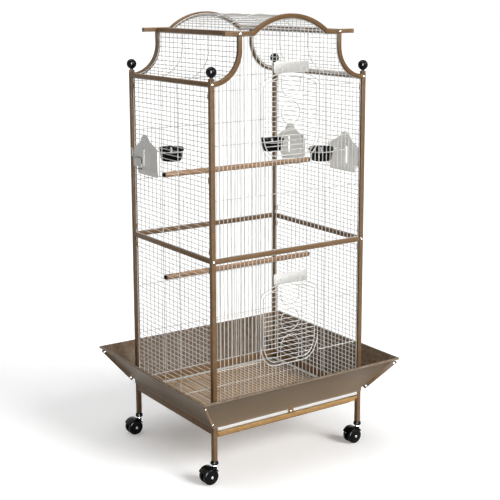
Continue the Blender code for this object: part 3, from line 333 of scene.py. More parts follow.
def chromeMaterial():  # plated screws, stems and axle caps, with fine turning marks
    material, tree, shader = newMaterial("bright_plating", chrome["roughness"], chrome["gloss"],
                                         metallic=1.0)
    place = ownPlace(tree)
    marks = noise(tree, place, chrome["marks"], 2.0)
    rough = ramp(tree, marks, 0.0, 1.0, chrome["smooth"], chrome["rough"])
    tree.links.new(rough, shader.inputs["Roughness"])
    colour = blendColour(tree, marks, chrome["low"], chrome["high"])
    tree.links.new(colour, shader.inputs["Base Color"])
    return material


def beechMaterial():  # long grain along X with short dark flecks
    material, tree, shader = newMaterial("beech_dowel", beech["roughness"], beech["gloss"])
    place = ownPlace(tree)
    stretch = addNode(tree, "Mapping", {"Vector": place, "Scale": beech["grain"]})
    grain = noise(tree, stretch.outputs[0], beech["grainScale"], 5.0, Distortion=1.1)
    streak = ramp(tree, grain, beech["grainLow"], beech["grainHigh"])
    colour = blendColour(tree, streak, beech["dark"], beech["light"])
    stretch = addNode(tree, "Mapping", {"Vector": place, "Scale": beech["flecks"]})
    fleck = noise(tree, stretch.outputs[0], 1.0, 1.0)
    dark = ramp(tree, fleck, beech["fleckLow"], beech["fleckHigh"], 0.0, beech["fleckFull"])
    colour = blendColour(tree, dark, colour, beech["fleck"])
    tree.links.new(colour, shader.inputs["Base Color"])
    roughen(tree, shader, grain, "beech")
    return material


finishes = {name: (paintMaterial(name), name) for name in ("bronze", "pearl", "skirt", "tray")}
finishes["band"] = (paintMaterial("band"), "pearl")
finishes["zinc"] = (hammertoneMaterial(), "zinc")
finishes["black"] = (glossMaterial("black"), "black")
finishes["tyre"] = (glossMaterial("tyre"), "black")
finishes["chrome"] = (chromeMaterial(), "zinc")
finishes["beech"] = (beechMaterial(), "beech")
print("materials:", len(finishes))


# Helpers that turn a bmesh or a set of wires into a piece

nearly = 1e-6  # points closer than this are one
domeTip = 0.01  # angle between a dome's last ring and its tip


def makePiece(name, mesh, finish, body, *nodes, sharp=38):
    material, slotName = finishes[finish]
    mesh.materials.clear()
    mesh.materials.append(material)
    mesh.shade_smooth()
    mesh.set_sharp_from_angle(angle=radians(sharp))
    item = bpy.data.objects.new(name, mesh)
    visual.objects.link(item)
    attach(item, body)
    if nodes:
        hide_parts(*nodes)
    return item


def steps(start, end, count):
    return [start + (end - start) * i / count for i in range(count + 1)]


def arcPoints(centre, radius, start, end, count):
    u, v = centre
    return [(u + radius * cos(a), v + radius * sin(a)) for a in steps(start, end, count)]


def evenPlaces(low, high):
    count = round((high - low) / wire["pitch"])
    return [low + (high - low) * i / count for i in range(1, count)]


def toMesh(work, name, place=Matrix.Identity(4)):
    bmesh.ops.transform(work, matrix=place, verts=work.verts)
    mesh = bpy.data.meshes.new(name)
    work.to_mesh(mesh)
    work.free()
    return mesh


def addPart(work, part, place=Matrix.Identity(4)):
    bmesh.ops.remove_doubles(part, verts=part.verts, dist=nearly)
    bmesh.ops.recalc_face_normals(part, faces=part.faces)
    scrap = toMesh(part, "scrap", place)
    work.from_mesh(scrap)
    bpy.data.meshes.remove(scrap)


def partMesh(name, *parts, place=Matrix.Identity(4)):
    work = bmesh.new()
    for part in parts:
        addPart(work, part, place)
    return toMesh(work, name)


def domePoints(radius, base, rise, start, count):  # from the rim to the tip
    angles = steps(start, pi / 2 - domeTip, count)
    return [(radius * cos(a), base + rise * sin(a)) for a in angles] + [(0, base + rise)]


def spunPart(outline, segments):
    part = bmesh.new()
    verts = [part.verts.new((radius, 0, height)) for radius, height in outline]
    edges = [part.edges.new(pair) for pair in zip(verts, verts[1:])]
    bmesh.ops.spin(part, geom=verts + edges, cent=(0, 0, 0), axis=(0, 0, 1), angle=2 * pi,
                   steps=segments, use_merge=True)
    return part


def easedBox(low, high, edge, segments=3):
    part = bmesh.new()
    bmesh.ops.create_cube(part, size=1)
    middle = [(a + b) / 2 for a, b in zip(low, high)]
    size = [b - a for a, b in zip(low, high)]
    stretch = Matrix.Translation(middle) @ Matrix.Diagonal((*size, 1))
    bmesh.ops.transform(part, matrix=stretch, verts=part.verts)
    bmesh.ops.bevel(part, geom=part.edges[:], offset=edge, offset_type="OFFSET", segments=segments,
                    profile=0.5, affect="EDGES", material=-1)
    return part


def sheetPart(loops, low, high, edge=0.0):
    part = bmesh.new()
    for loop in loops:
        verts = [part.verts.new((u, v, low)) for u, v in loop]
        for pair in zip(verts, verts[1:] + verts[:1]):
            part.edges.new(pair)
    bmesh.ops.triangle_fill(part, edges=part.edges[:], use_beauty=True, normal=(0, 0, 1))
    bmesh.ops.dissolve_limit(part, angle_limit=radians(1), verts=part.verts[:], edges=part.edges[:])
    raised = bmesh.ops.extrude_face_region(part, geom=part.faces[:])
    upper = [item for item in raised["geom"] if isinstance(item, bmesh.types.BMVert)]
    bmesh.ops.translate(part, verts=upper, vec=(0, 0, high - low))
    bmesh.ops.recalc_face_normals(part, faces=part.faces)
    if edge:
        rims = [e for e in part.edges if abs(e.verts[0].co.z - e.verts[1].co.z) < nearly
                and len(e.link_faces) == 2 and e.calc_face_angle(0) > radians(60)]
        bmesh.ops.bevel(part, geom=rims, offset=edge, offset_type="OFFSET", segments=2, profile=0.5,
                        affect="EDGES", material=-1)
    return part


def curveMesh(name, curve, place):
    holder = bpy.data.objects.new(name, curve)
    visual.objects.link(holder)
    bpy.context.view_layer.update()
    solved = holder.evaluated_get(bpy.context.evaluated_depsgraph_get())
    mesh = bpy.data.meshes.new_from_object(solved)
    bpy.data.objects.remove(holder)
    bpy.data.curves.remove(curve)
    mesh.transform(place)
    return mesh


def wirePiece(name, runs, body, *nodes, place=Matrix.Identity(4), finish="pearl"):
    curve = bpy.data.curves.new(name, "CURVE")
    curve.dimensions = "3D"
    curve.bevel_depth = 1
    curve.bevel_resolution = 2
    curve.use_fill_caps = True
    for thickness, points, closed in runs:  # one wire each
        spline = curve.splines.new("POLY")
        spline.points.add(len(points) - 1)
        for point, corner in zip(spline.points, points):
            point.co = (*corner, 1)
            point.radius = thickness / 2
        spline.use_cyclic_u = closed
    makePiece(name, curveMesh(name, curve, place), finish, body, *nodes, sharp=50)


def squareSweep(name, path, half, corner, place):  # a rounded square tube along a flat path
    profile = bpy.data.curves.new(name + "_profile", "CURVE")
    outline = []
    for turn, u, v in ((0, 1, 1), (90, -1, 1), (180, -1, -1), (270, 1, -1)):
        centre = (u * (half - corner), v * (half - corner))
        outline += arcPoints(centre, corner, radians(turn), radians(turn + 90), 3)
    spline = profile.splines.new("POLY")
    spline.points.add(len(outline) - 1)
    for point, (u, v) in zip(spline.points, outline):
        point.co = (u, v, 0, 1)
    spline.use_cyclic_u = True
    profileItem = bpy.data.objects.new(name + "_profile", profile)
    visual.objects.link(profileItem)
    curve = bpy.data.curves.new(name, "CURVE")
    curve.dimensions = "2D"
    curve.fill_mode = "NONE"
    curve.bevel_mode = "OBJECT"
    curve.bevel_object = profileItem
    curve.use_fill_caps = True
    spline = curve.splines.new("POLY")
    spline.points.add(len(path) - 1)
    for point, (u, v) in zip(spline.points, path):
        point.co = (u, v, 0, 1)
    mesh = curveMesh(name, curve, place)
    bpy.data.objects.remove(profileItem)
    bpy.data.curves.remove(profile)
    return mesh


def joinMeshes(name, meshes):
    work = bmesh.new()
    for mesh in meshes:
        work.from_mesh(mesh)
        bpy.data.meshes.remove(mesh)
    bmesh.ops.remove_doubles(work, verts=work.verts, dist=nearly)
    bmesh.ops.recalc_face_normals(work, faces=work.faces)
    return toMesh(work, name)


# Screws: a domed plated head in a dark washer

screw = {"radius": 0.0036, "rise": 0.0016, "washer": 0.0048, "washerRise": 0.0007,
         "washerSide": 0.6, "lap": 0.0004, "eased": 0.0005, "domeStart": 0.2, "segments": 20}


def screwParts(head, washer, place):
    r = screw["radius"]
    flat = screw["washerRise"]
    dome = [(r, 0), (r, flat)] + domePoints(r, flat, screw["rise"], screw["domeStart"], 5)
    addPart(head, spunPart(dome, screw["segments"]), place)
    hole = r - screw["lap"]
    w = screw["washer"]
    ring = [(hole, 0), (w, 0), (w, flat * screw["washerSide"]), (w - screw["eased"], flat),
            (hole, flat)]
    addPart(washer, spunPart(ring, screw["segments"]), place)


# Corner posts, rails and the two curved top frames

tube = {"corner": 0.0022, "arcSteps": 40, "archHalf": 0.1445, "archRise": 0.05238,
        "overhang": 0.057}
archRadius = (tube["archHalf"] ** 2 + tube["archRise"] ** 2) / (2 * tube["archRise"])
archZ = topRailZ + tube["archRise"] - archRadius
archReach = asin(tube["archHalf"] / archRadius)

screwHeads = bmesh.new()
screwWashers = bmesh.new()

for node in sorted(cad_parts):
    if "_rail_" in node:
        rail = easedBox(*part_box(node), tube["corner"])
        makePiece(node + "_tube", partMesh(node, rail), "bronze", "cage", node)

for depth in ("front", "back"):
    for hand in ("left", "right"):
        node = f"post_{depth}_{hand}"
        low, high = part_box(node)
        x, y = posts[f"{depth}_{hand}"]
        corners = ((x - postHalf, y - postHalf, low.z), (x + postHalf, y + postHalf, high.z))
        post = easedBox(*corners, tube["corner"])
        makePiece(node + "_tube", partMesh(node, post), "bronze", "cage", node)
        u = x if depth == "front" else -x
        for z in (shoulderZ, midZ):
            spot = faces[depth] @ Matrix.Translation((u, z, postHalf))
            screwParts(screwHeads, screwWashers, spot)

    curve = [(-halfX + curveRadius * sin(a), curveZ - curveRadius * cos(a))
             for a in steps(asin((halfX - panelX) / curveRadius), pi / 2, 20)]
    curve.append((-topRailX, topRailZ - railHalf))
    end = topRailX + tube["overhang"]
    arch = [(archRadius * sin(a), archZ + archRadius * cos(a))
            for a in steps(-archReach, archReach, tube["arcSteps"])]
    crown = [(-end, topRailZ)] + arch + [(end, topRailZ)]
    paths = [curve, [(-u, v) for u, v in curve], crown]
    name = f"top_frame_{depth}"
    swept = [squareSweep(f"{name}_{i}", path, railHalf, tube["corner"], faces[depth])
             for i, path in enumerate(paths)]
    makePiece(name + "_tube", joinMeshes(name, swept), "bronze", "cage", name)
    for u in (-topRailX, topRailX):
        spot = faces[depth] @ Matrix.Translation((u, topRailZ, railHalf))
        screwParts(screwHeads, screwWashers, spot)

makePiece("screw_heads", toMesh(screwHeads, "screw_heads"), "chrome", "cage")
makePiece("screw_washers", toMesh(screwWashers, "screw_washers"), "black", "cage")
print("tubes and screws done")


# Ball finials

finial = {"ball": 0.017, "neck": 0.0055, "cap": 0.0156, "capRise": 0.006, "capEdge": 0.0014,
          "gap": 0.0002, "ballStart": 0.05, "ballEnd": 0.02, "segments": 40}

for mark in posts:
    node = "finial_" + mark
    low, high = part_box(node)
    middle = (low + high) / 2
    ball = finial["ball"]
    centre = high.z - low.z - ball
    start = asin(finial["neck"] / ball)
    foot = finial["capRise"] + finial["gap"]
    outline = [(0, foot), (finial["neck"], foot), (finial["neck"], centre - ball * cos(start))]
    outline += [(ball * sin(a), centre - ball * cos(a))
                for a in steps(start + finial["ballStart"], pi - finial["ballEnd"], 26)]
    outline.append((0, centre + ball))
    seat = Vector((middle.x, middle.y, low.z))
    sphere = spunPart(outline, finial["segments"])
    mesh = partMesh(node, sphere, place=Matrix.Translation(seat))
    makePiece(node + "_ball", mesh, "black", "cage", node, sharp=60)
    half = Vector((finial["cap"] / 2, finial["cap"] / 2, 0))
    top = Vector((0, 0, finial["capRise"]))
    cap = easedBox(seat - half, seat + half + top, finial["capEdge"])
    makePiece(node + "_cap", partMesh(node, cap), "bronze", "cage")
print("finials done")


# Wire work: level or upright bars, thicker edge wires, and cross wires welded outside them

wire = {"bar": 0.0025, "edge": 0.0035, "cross": 0.0028, "weld": 0.0002, "pitch": 0.015875,
        "crossRises": (0.194, 0.367, 0.536), "crossDrops": (0.189, 0.363), "bendStep": 0.006,
        "railGap": 0.0003}
edgeHalf = wire["edge"] / 2
crossOut = wire["bar"] / 2 + wire["cross"] / 2 - wire["weld"]
upperCross = [midZ + rise for rise in wire["crossRises"]]
lowerCross = [midZ - drop for drop in wire["crossDrops"]]

frontPlaces = evenPlaces(edgeHalf - panelX, panelX - edgeHalf)
frontStep = frontPlaces[1] - frontPlaces[0]

door = {"height": 0.2765, "gap": 0.009, "flat": 0.060, "taper": 0.083, "crown": 0.222,
        "shoulder": 0.018, "columns": 7.5, "upright": 0.050, "rise": 0.027, "ring": 0.037,
        "ringHeight": 0.148, "bow": 0.037, "bowGap": 0.014, "eyePlace": 2, "eye": 0.0026,
        "eyeOpen": 0.35, "eyeWire": 0.0018, "eyeSpread": 0.0006}
openingHalf = door["columns"] * frontStep - edgeHalf


def pagodaEdge(inset, side, count=16):  # from left to right, inset from the tubes' middle
    radius = curveRadius + inset
    left = [(-halfX + radius * sin(a), curveZ - radius * cos(a))
            for a in steps(asin((halfX - side) / radius), pi / 2, count)]
    left.append((-halfX + radius, topRailZ - inset))
    crownRadius = archRadius - inset
    reach = acos((topRailZ - inset - archZ) / crownRadius)
    crown = [(crownRadius * sin(a), archZ + crownRadius * cos(a))
             for a in steps(-reach, reach, 2 * count)]
    return left + crown + [(-u, v) for u, v in reversed(left)]


def heightAt(chain, u):
    spans = [(a, b) for a, b in zip(chain, chain[1:]) if a[0] <= u <= b[0] and b[0] > a[0]]
    (x0, y0), (x1, y1) = spans[0]
    return y0 + (y1 - y0) * (u - x0) / (x1 - x0)


def doorShape(inset, bottom, count=10):  # lower and upper edge of a door from left to right
    half = openingHalf - inset
    flat = door["flat"]
    shelf = bottom + door["taper"]
    corner = [(flat + (half - flat) * sin(a), shelf - (door["taper"] - inset) * cos(a))
              for a in steps(0, pi / 2, count)]
    crownZ = bottom + door["height"] - door["crown"]
    filletX = openingHalf - door["shoulder"]
    filletRise = sqrt((door["crown"] - door["shoulder"]) ** 2 - filletX ** 2)
    lean = atan2(filletX, filletRise)
    bend = door["shoulder"] - inset
    fillet = arcPoints((filletX, crownZ + filletRise), bend, 0, pi / 2 - lean, 5)
    crown = arcPoints((0, crownZ), door["crown"] - inset, pi / 2 - lean, pi / 2 + lean, 16)
    lower = [(-u, v) for u, v in reversed(corner)] + corner
    upper = [(-u, v) for u, v in fillet[:-1]] + crown[::-1] + fillet[::-1][1:]
    return lower, upper


def levelWire(thickness, start, end, v, w=0.0):
    return (thickness, [(start, v, w), (end, v, w)], False)


def uprightWire(thickness, u, bottom, top, w=0.0):
    return (thickness, [(u, bottom, w), (u, top, w)], False)


def flatLoop(thickness, points, w=0.0, closed=True):
    return (thickness, [(u, v, w) for u, v in points], closed)


def frontPanel(node, place, topEdge, opening, crossHeights):
    low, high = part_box(node)
    bottom = low.z + edgeHalf
    side = panelX - edgeHalf
    outline = [(-side, bottom)] + topEdge + [(side, bottom)]
    runs = [flatLoop(wire["edge"], outline)]
    if opening:
        lower, upper = doorShape(-edgeHalf, opening)
        runs.append(flatLoop(wire["edge"], lower + upper[::-1]))
        jamb = openingHalf + edgeHalf
        for u in (-jamb, jamb):
            runs.append(uprightWire(wire["edge"], u, bottom, heightAt(topEdge, u)))
    for u in frontPlaces:
        top = heightAt(topEdge, u)
        if opening and abs(abs(u) - openingHalf - wire["edge"]) < frontStep / 2:
            continue
        if opening and abs(u) < openingHalf:
            runs.append(uprightWire(wire["bar"], u, bottom, heightAt(lower, u)))
            runs.append(uprightWire(wire["bar"], u, heightAt(upper, u), top))
        else:
            runs.append(uprightWire(wire["bar"], u, bottom, top))
    for z in crossHeights:
        if opening and opening < z < opening + door["height"]:
            runs.append(levelWire(wire["cross"], -side, -jamb, z, crossOut))
            runs.append(levelWire(wire["cross"], jamb, side, z, crossOut))
        else:
            runs.append(levelWire(wire["cross"], -side, side, z, crossOut))
    wirePiece(node + "_wires", runs, "cage", node, place=place)


doorBottoms = {"upper": 1.0418, "lower": 0.3508}
railInner = railHalf + wire["railGap"]
for depth in ("front", "back"):
    top = pagodaEdge(railInner + edgeHalf, panelX - edgeHalf)
    opening = doorBottoms["upper"] if depth == "front" else None
    frontPanel(f"panel_{depth}_upper", faces[depth], top, opening, upperCross)
    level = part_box(f"panel_{depth}_lower")[1].z - edgeHalf
    top = [(edgeHalf - panelX, level), (panelX - edgeHalf, level)]
    opening = doorBottoms["lower"] if depth == "front" else None
    frontPanel(f"panel_{depth}_lower", faces[depth], top, opening, lowerCross)
print("front and back panels done")


# Side panels, with the openings and hinge eyes of the feeder doors

feeder = {
    "hinge": 0.0695, "out": 0.0074, "jamb": 0.0045, "sill": 0.967, "head": 1.062, "bottom": 0.959,
    "dome": 0.031, "domeAcross": 0.090, "domeRise": 1.0665, "start": 0.0055, "end": 0.1425,
    "tabEnd": 0.1745, "tabBottom": 0.982, "sheet": 0.0014, "sheetEdge": 0.0004, "pin": 0.0026,
    "barrel": 0.980, "barrelHeight": 0.069, "slot": 0.0985, "slotWidth": 0.0095,
    "slotBottom": 0.987, "slotHeight": 0.060, "eye": 0.0056, "eyeTurn": 0.0018,
    "eyeWire": 0.0016, "eyeGap": 0.0004, "stiffener": 0.052, "domeStart": 14, "domeEnd": 158,
    "segments": 16,
    "outerShoulder": [(0.1745, 1.032), (0.1690, 1.042), (0.1600, 1.0505), (0.1470, 1.0575),
                      (0.1320, 1.0645)],
    "innerShoulder": [(0.0500, 1.0722), (0.0320, 1.0660), (0.0165, 1.0595), (0.0055, 1.0530)],
}


def sidePanel(node, place, ends):
    low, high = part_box(node)
    side = panelY - edgeHalf
    bottom = low.z + edgeHalf
    top = high.z - edgeHalf
    runs = [flatLoop(wire["edge"], [(-side, bottom), (side, bottom), (side, top), (-side, top)])]
    places = evenPlaces(bottom, top)
    jamb = feeder["hinge"] + feeder["jamb"] - edgeHalf
    sill = min(places, key=lambda v: abs(v - feeder["sill"]))
    head = min(places, key=lambda v: abs(v - feeder["head"]))
    for v in places:
        left = -side
        right = side
        if ends and sill < v < head:
            left = -jamb if -1 in ends else -side
            right = jamb if 1 in ends else side
        runs.append(levelWire(wire["bar"], left, right, v))
    for u in (-feeder["stiffener"], feeder["stiffener"]):
        runs.append(uprightWire(wire["cross"], u, bottom, top, crossOut))
    out = feeder["out"]
    turn = feeder["eyeTurn"]
    clear = feeder["eye"] / 2 + feeder["eyeGap"]
    for end in ends:
        pin = end * feeder["hinge"]
        runs.append(uprightWire(wire["edge"], end * jamb, sill, head))
        for v in (feeder["barrel"] - clear, feeder["barrel"] + feeder["barrelHeight"] + clear):
            ring = [(pin + turn * cos(a), v, out + turn * sin(a))
                    for a in steps(0, 2 * pi, 12)[:-1]]
            runs.append((feeder["eyeWire"], ring, True))
            runs.append((feeder["eyeWire"], [(end * jamb, v, 0), (pin, v, out - turn)], False))
    wirePiece(node + "_wires", runs, "cage", node, place=place)


sidePanel("panel_left_upper", faces["left"], (-1,))
sidePanel("panel_right_upper", faces["right"], (-1, 1))
sidePanel("panel_left_lower", faces["left"], ())
sidePanel("panel_right_lower", faces["right"], ())
print("side panels done")


# Roof panels: bars run front to back between two bent edge wires

def roofPanel(node, spotAt, length):
    side = panelY - edgeHalf
    runs = []
    ends = (edgeHalf, length - edgeHalf)
    for thickness, distances in ((wire["edge"], ends), (wire["bar"], evenPlaces(*ends))):
        for x, z in (spotAt(distance)[0] for distance in distances):
            runs.append((thickness, [(x, -side, z), (x, side, z)], False))
    count = max(12, round(length / wire["bendStep"]))
    for y in (-side, side):
        bent = [spotAt(distance)[0] for distance in steps(*ends, count)]
        runs.append((wire["edge"], [(x, y, z) for x, z in bent], False))
    for y in (-panelY / 3, panelY / 3):
        bent = []
        for distance in steps(*ends, count):
            (x, z), (outX, outZ) = spotAt(distance)
            bent.append((x + crossOut * outX, y, z + crossOut * outZ))
        runs.append((wire["cross"], bent, False))
    wirePiece(node + "_wires", runs, "cage", node)


def sideCurve(side):
    start = asin(railInner / curveRadius)
    bend = (pi / 2 - start) * curveRadius
    length = bend + topRailZ - railInner - curveZ

    def spotAt(distance):
        if distance > bend:
            return (side * topRailX, curveZ + distance - bend), (side, 0)
        angle = start + distance / curveRadius
        spot = (side * (halfX - curveRadius * sin(angle)), curveZ - curveRadius * cos(angle))
        return spot, (side * sin(angle), cos(angle))
    return spotAt, length


def vault():
    flat = topRailX - railInner - tube["archHalf"]
    bend = 2 * archReach * archRadius

    def spotAt(distance):
        if distance < flat:
            return (distance - flat - tube["archHalf"], topRailZ), (0, 1)
        if distance > flat + bend:
            return (distance - flat - bend + tube["archHalf"], topRailZ), (0, 1)
        angle = (distance - flat) / archRadius - archReach
        outward = (sin(angle), cos(angle))
        return (archRadius * outward[0], archZ + archRadius * outward[1]), outward
    return spotAt, 2 * flat + bend


roofPanel("roof_left", *sideCurve(-1))
roofPanel("roof_right", *sideCurve(1))
roofPanel("roof_middle", *vault())
print("roof panels done")


# Front doors: level bars in a shaped edge wire, with a ring between two bows, and the latch plate

plate = {"width": 0.138, "height": 0.037, "drop": 0.001, "sheet": 0.0012, "corner": 0.006,
         "edge": 0.0004, "gap": 0.0004, "loopPlace": 0.048, "loopWidth": 0.024, "loopHeight": 0.022,
         "loopWire": 0.0024, "loopFoot": 0.002, "loopSink": 0.0001}
plateLow = wire["bar"] / 2 + plate["gap"] + wire["cross"] + plate["gap"]


def frontDoor(level, bottom):
    body = "front_door_" + level
    node = "door_" + level
    inset = door["gap"] + edgeHalf
    lower, upper = doorShape(inset, bottom)
    runs = [flatLoop(wire["edge"], lower + upper[::-1])]
    right = [(v, u) for u, v in lower if u > 0] + [(v, u) for u, v in upper[::-1] if u > -nearly]
    sill = bottom + inset
    top = bottom + door["height"]
    places = evenPlaces(sill, top - inset)
    for v in places:
        reach = heightAt(right, v)
        runs.append(levelWire(wire["bar"], -reach, reach, v))
    for side in (-1, 1):
        upright = side * door["upright"]
        runs.append(uprightWire(wire["cross"], upright, sill, top + door["rise"], crossOut))
        pivot = bottom - edgeHalf
        u = side * door["eyePlace"] * frontStep
        turn = door["eye"] + door["eyeWire"] / 2
        eye = [(u, pivot + turn * cos(a), turn * sin(a))
               for a in steps(door["eyeOpen"], 2 * pi - door["eyeOpen"], 16)]
        ends = [(u, sill, door["eyeSpread"]), (u, sill, -door["eyeSpread"])]
        runs.append((door["eyeWire"], ends[:1] + eye + ends[1:], False))
    ring = bottom + door["ringHeight"]
    circle = arcPoints((0, ring), door["ring"], 0, 2 * pi, 36)[:-1]
    runs.append(flatLoop(wire["cross"], circle, crossOut))
    reach = door["ring"] + door["bowGap"] + door["bow"]
    topEdge = heightAt(upper, door["bow"])
    for centre, end, start in ((ring - reach, sill, 0), (ring + reach, topEdge, pi)):
        bow = arcPoints((0, centre), door["bow"], start, start + pi, 18)
        bow = [(bow[0][0], end)] + bow + [(bow[-1][0], end)]
        runs.append(flatLoop(wire["cross"], bow, crossOut, False))
    wirePiece(node + "_wires", runs, body, node, place=faces["front"])

    base = top - plate["drop"]
    bend = plate["corner"]
    half = plate["width"] / 2 - bend
    crest = plate["height"] - bend
    corners = []
    for turn, u, v in ((0, half, crest), (90, -half, crest), (180, -half, bend), (270, half, bend)):
        corners += arcPoints((u, base + v), bend, radians(turn), radians(turn + 90), 6)
    high = plateLow + plate["sheet"]
    sheet = sheetPart([corners], plateLow, high, plate["edge"])
    mesh = partMesh("plate", sheet, place=faces["front"])
    makePiece(f"latch_plate_{level}_sheet", mesh, "zinc", body, "latch_plate_" + level)
    runs = []
    turn = (plate["loopWidth"] - plate["loopWire"]) / 2
    out = high + plate["loopWire"] / 2 - plate["loopSink"]
    for side in (-1, 1):
        middle = side * plate["loopPlace"]
        centre = (middle, base + plate["loopHeight"] - plate["loopWidth"] / 2)
        loop = arcPoints(centre, turn, 0, pi, 14)
        foot = base + plate["loopFoot"]
        loop = [(middle + turn, foot)] + loop + [(middle - turn, foot)]
        runs.append(flatLoop(plate["loopWire"], loop, out, False))
    wirePiece(f"latch_loops_{level}", runs, body, place=faces["front"])


for level, bottom in doorBottoms.items():
    frontDoor(level, bottom)
print("front doors done")


# Feeder doors with their cup rings, latch wires and seed cups

cup = {"inset": 0.088, "across": 0.0755, "rim": 0.044, "body": 0.0402, "base": 0.036,
       "round": 0.008, "top": 1.048, "depth": 0.046, "wall": 0.002, "lip": 0.0105,
       "eased": 0.0012, "ringWire": 0.0035, "ringGap": 0.0004, "ringDrop": 0.0003,
       "armSpread": 0.022, "segments": 48}


def feederDoor(spot, place, end):
    body = "feeder_" + spot
    node = "feeder_door_" + spot

    def across(distance):
        return end * (feeder["hinge"] + distance)

    low = feeder["out"] - feeder["pin"]
    high = low + feeder["sheet"]
    barrelTop = feeder["barrel"] + feeder["barrelHeight"]
    outline = [(feeder["start"], feeder["bottom"]), (feeder["end"], feeder["bottom"]),
               (feeder["end"], feeder["tabBottom"]), (feeder["tabEnd"], feeder["tabBottom"])]
    outline += feeder["outerShoulder"]
    domeCentre = (feeder["domeAcross"], feeder["domeRise"])
    ends = (radians(feeder["domeStart"]), radians(feeder["domeEnd"]))
    outline += arcPoints(domeCentre, feeder["dome"], *ends, 22)
    outline += feeder["innerShoulder"]
    outline += [(feeder["start"], barrelTop), (0, barrelTop), (0, feeder["barrel"]),
                (feeder["start"], feeder["barrel"])]
    slotHalf = feeder["slotWidth"] / 2
    slotTop = feeder["slotBottom"] + feeder["slotHeight"]
    slot = arcPoints((feeder["slot"], slotTop - slotHalf), slotHalf, 0, pi, 6)
    slot += arcPoints((feeder["slot"], feeder["slotBottom"] + slotHalf), slotHalf, pi, 2 * pi, 6)
    loops = [[(across(u), v) for u, v in loop] for loop in (outline, slot)]
    work = bmesh.new()
    addPart(work, sheetPart(loops, low, high, feeder["sheetEdge"]), place)
    barrel = [(0, 0), (feeder["pin"], 0), (feeder["pin"], feeder["barrelHeight"]),
              (0, feeder["barrelHeight"])]
    foot = Matrix.Translation((across(0), feeder["barrel"], feeder["out"]))
    upright = place @ foot @ Matrix.Rotation(-pi / 2, 4, "X")
    addPart(work, spunPart(barrel, feeder["segments"]), upright)
    makePiece(node + "_sheet", toMesh(work, node), "zinc", body, node)

    turn = cup["body"] + cup["ringGap"] + cup["ringWire"] / 2
    level = cup["top"] - cup["lip"] - cup["ringDrop"] - cup["ringWire"] / 2
    middle = across(cup["across"])
    ring = [(middle + turn * cos(a), level, turn * sin(a) - cup["inset"])
            for a in steps(0, 2 * pi, 40)[:-1]]
    runs = [(cup["ringWire"], ring, True)]
    reach = sqrt(turn ** 2 - cup["armSpread"] ** 2)
    for side in (-1, 1):
        u = middle + side * cup["armSpread"]
        arm = [(u, level, reach - cup["inset"]), (u, level, low + cup["ringDrop"])]
        runs.append((cup["ringWire"], arm, False))
    wirePiece(node + "_ring", runs, body, place=place)

    lip = cup["lip"]
    rim = cup["rim"]
    eased = cup["eased"]
    turnIn = cup["base"] - cup["round"]
    floor = cup["round"] - cup["depth"]
    outline = [(0, -cup["depth"])] + arcPoints((turnIn, floor), cup["round"], -pi / 2, 0, 6)
    outline += [(cup["body"], -lip), (rim - eased, -lip), (rim, eased - lip), (rim, -eased),
                (rim - eased, 0), (rim - 2 * eased, 0), (rim - 3 * eased, -eased),
                (cup["body"] - cup["wall"], -lip)]
    outline += arcPoints((turnIn, floor), cup["round"] - cup["wall"], 0, -pi / 2, 6)
    outline.append((0, cup["wall"] - cup["depth"]))
    centre = place @ Vector((middle, cup["top"], -cup["inset"]))
    bowl = spunPart(outline, cup["segments"])
    mesh = partMesh("cup", bowl, place=Matrix.Translation(centre))
    makePiece(f"cup_{spot}_bowl", mesh, "black", "seed_cup_" + spot, "cup_" + spot, sharp=40)


# the length down the inner leg from the head bend sets how far the black painted shade runs
latch = {"wire": 0.0024, "low": 0.9755, "high": 1.0150, "inner": 0.1150, "outer": 0.1540,
         "turn": 0.006, "spread": 0.007, "drop": 0.006, "shadedLength": 0.020, "keeper": 0.1775,
         "keeperRise": 1.0290, "keeperWide": 0.0055, "keeperTall": 0.0145, "keeperOut": 0.0101}


def feederLatch(spot, place, end):  # a wire handle whose foot and head bends are black as painted shade, and its keeper by the post
    out = feeder["out"] - feeder["pin"] + feeder["sheet"] + latch["wire"] / 2
    turn = latch["turn"]
    low, high, inner, outer = (latch[key] for key in ("low", "high", "inner", "outer"))

    def run(points, w=out, closed=False):
        return (latch["wire"], [(end * (feeder["hinge"] + u), v, w) for u, v in points], closed)

    foot = arcPoints((outer - turn, low + turn), turn, 0, -pi / 2, 5)
    foot += arcPoints((inner + turn, low + turn), turn, -pi / 2, -pi, 5)
    head = [(outer + latch["spread"], high - latch["drop"]), (outer, high)]
    head += arcPoints((inner + turn, high - turn), turn, pi / 2, pi, 5)
    head.append((inner, high - latch["shadedLength"]))
    legs = [run([(outer, high), foot[0]]), run([head[-1], foot[-1]])]
    body = "feeder_" + spot
    wirePiece(f"feeder_loop_{spot}", legs, body, place=place)
    # painted shade: the foot and head bends are drawn black where their undersides fall in shade;
    # the legs stay white
    shadedBends = [run(foot), run(head)]
    wirePiece(f"feeder_latch_shade_{spot}", shadedBends, body, place=place, finish="black")
    ring = [(latch["keeper"] + latch["keeperWide"] * cos(a),
             latch["keeperRise"] + latch["keeperTall"] * sin(a)) for a in steps(0, 2 * pi, 24)[:-1]]
    keeper = run(ring, latch["keeperOut"], True)
    wirePiece(f"feeder_keeper_{spot}", [keeper], "cage", place=place)


feeders = (("left", "left", -1), ("right_front", "right", -1), ("right_back", "right", 1))
for spot, name, end in feeders:
    feederDoor(spot, faces[name], end)
    feederLatch(spot, faces[name], end)
print("feeder doors and cups done")


# Perches: a beech dowel with a bolt and washers at each end

perch = {"radius": 0.0095, "bevel": 0.0012, "bolt": 0.0028, "boltDepth": 0.001, "washer": 0.0079,
         "washerSheet": 0.0016, "washerEdge": 0.0004, "head": 0.0050, "headRise": 0.0030,
         "headRound": 0.001, "headFlat": 0.0035, "gap": 0.0003, "segments": 32,
         "boltSegments": 24}

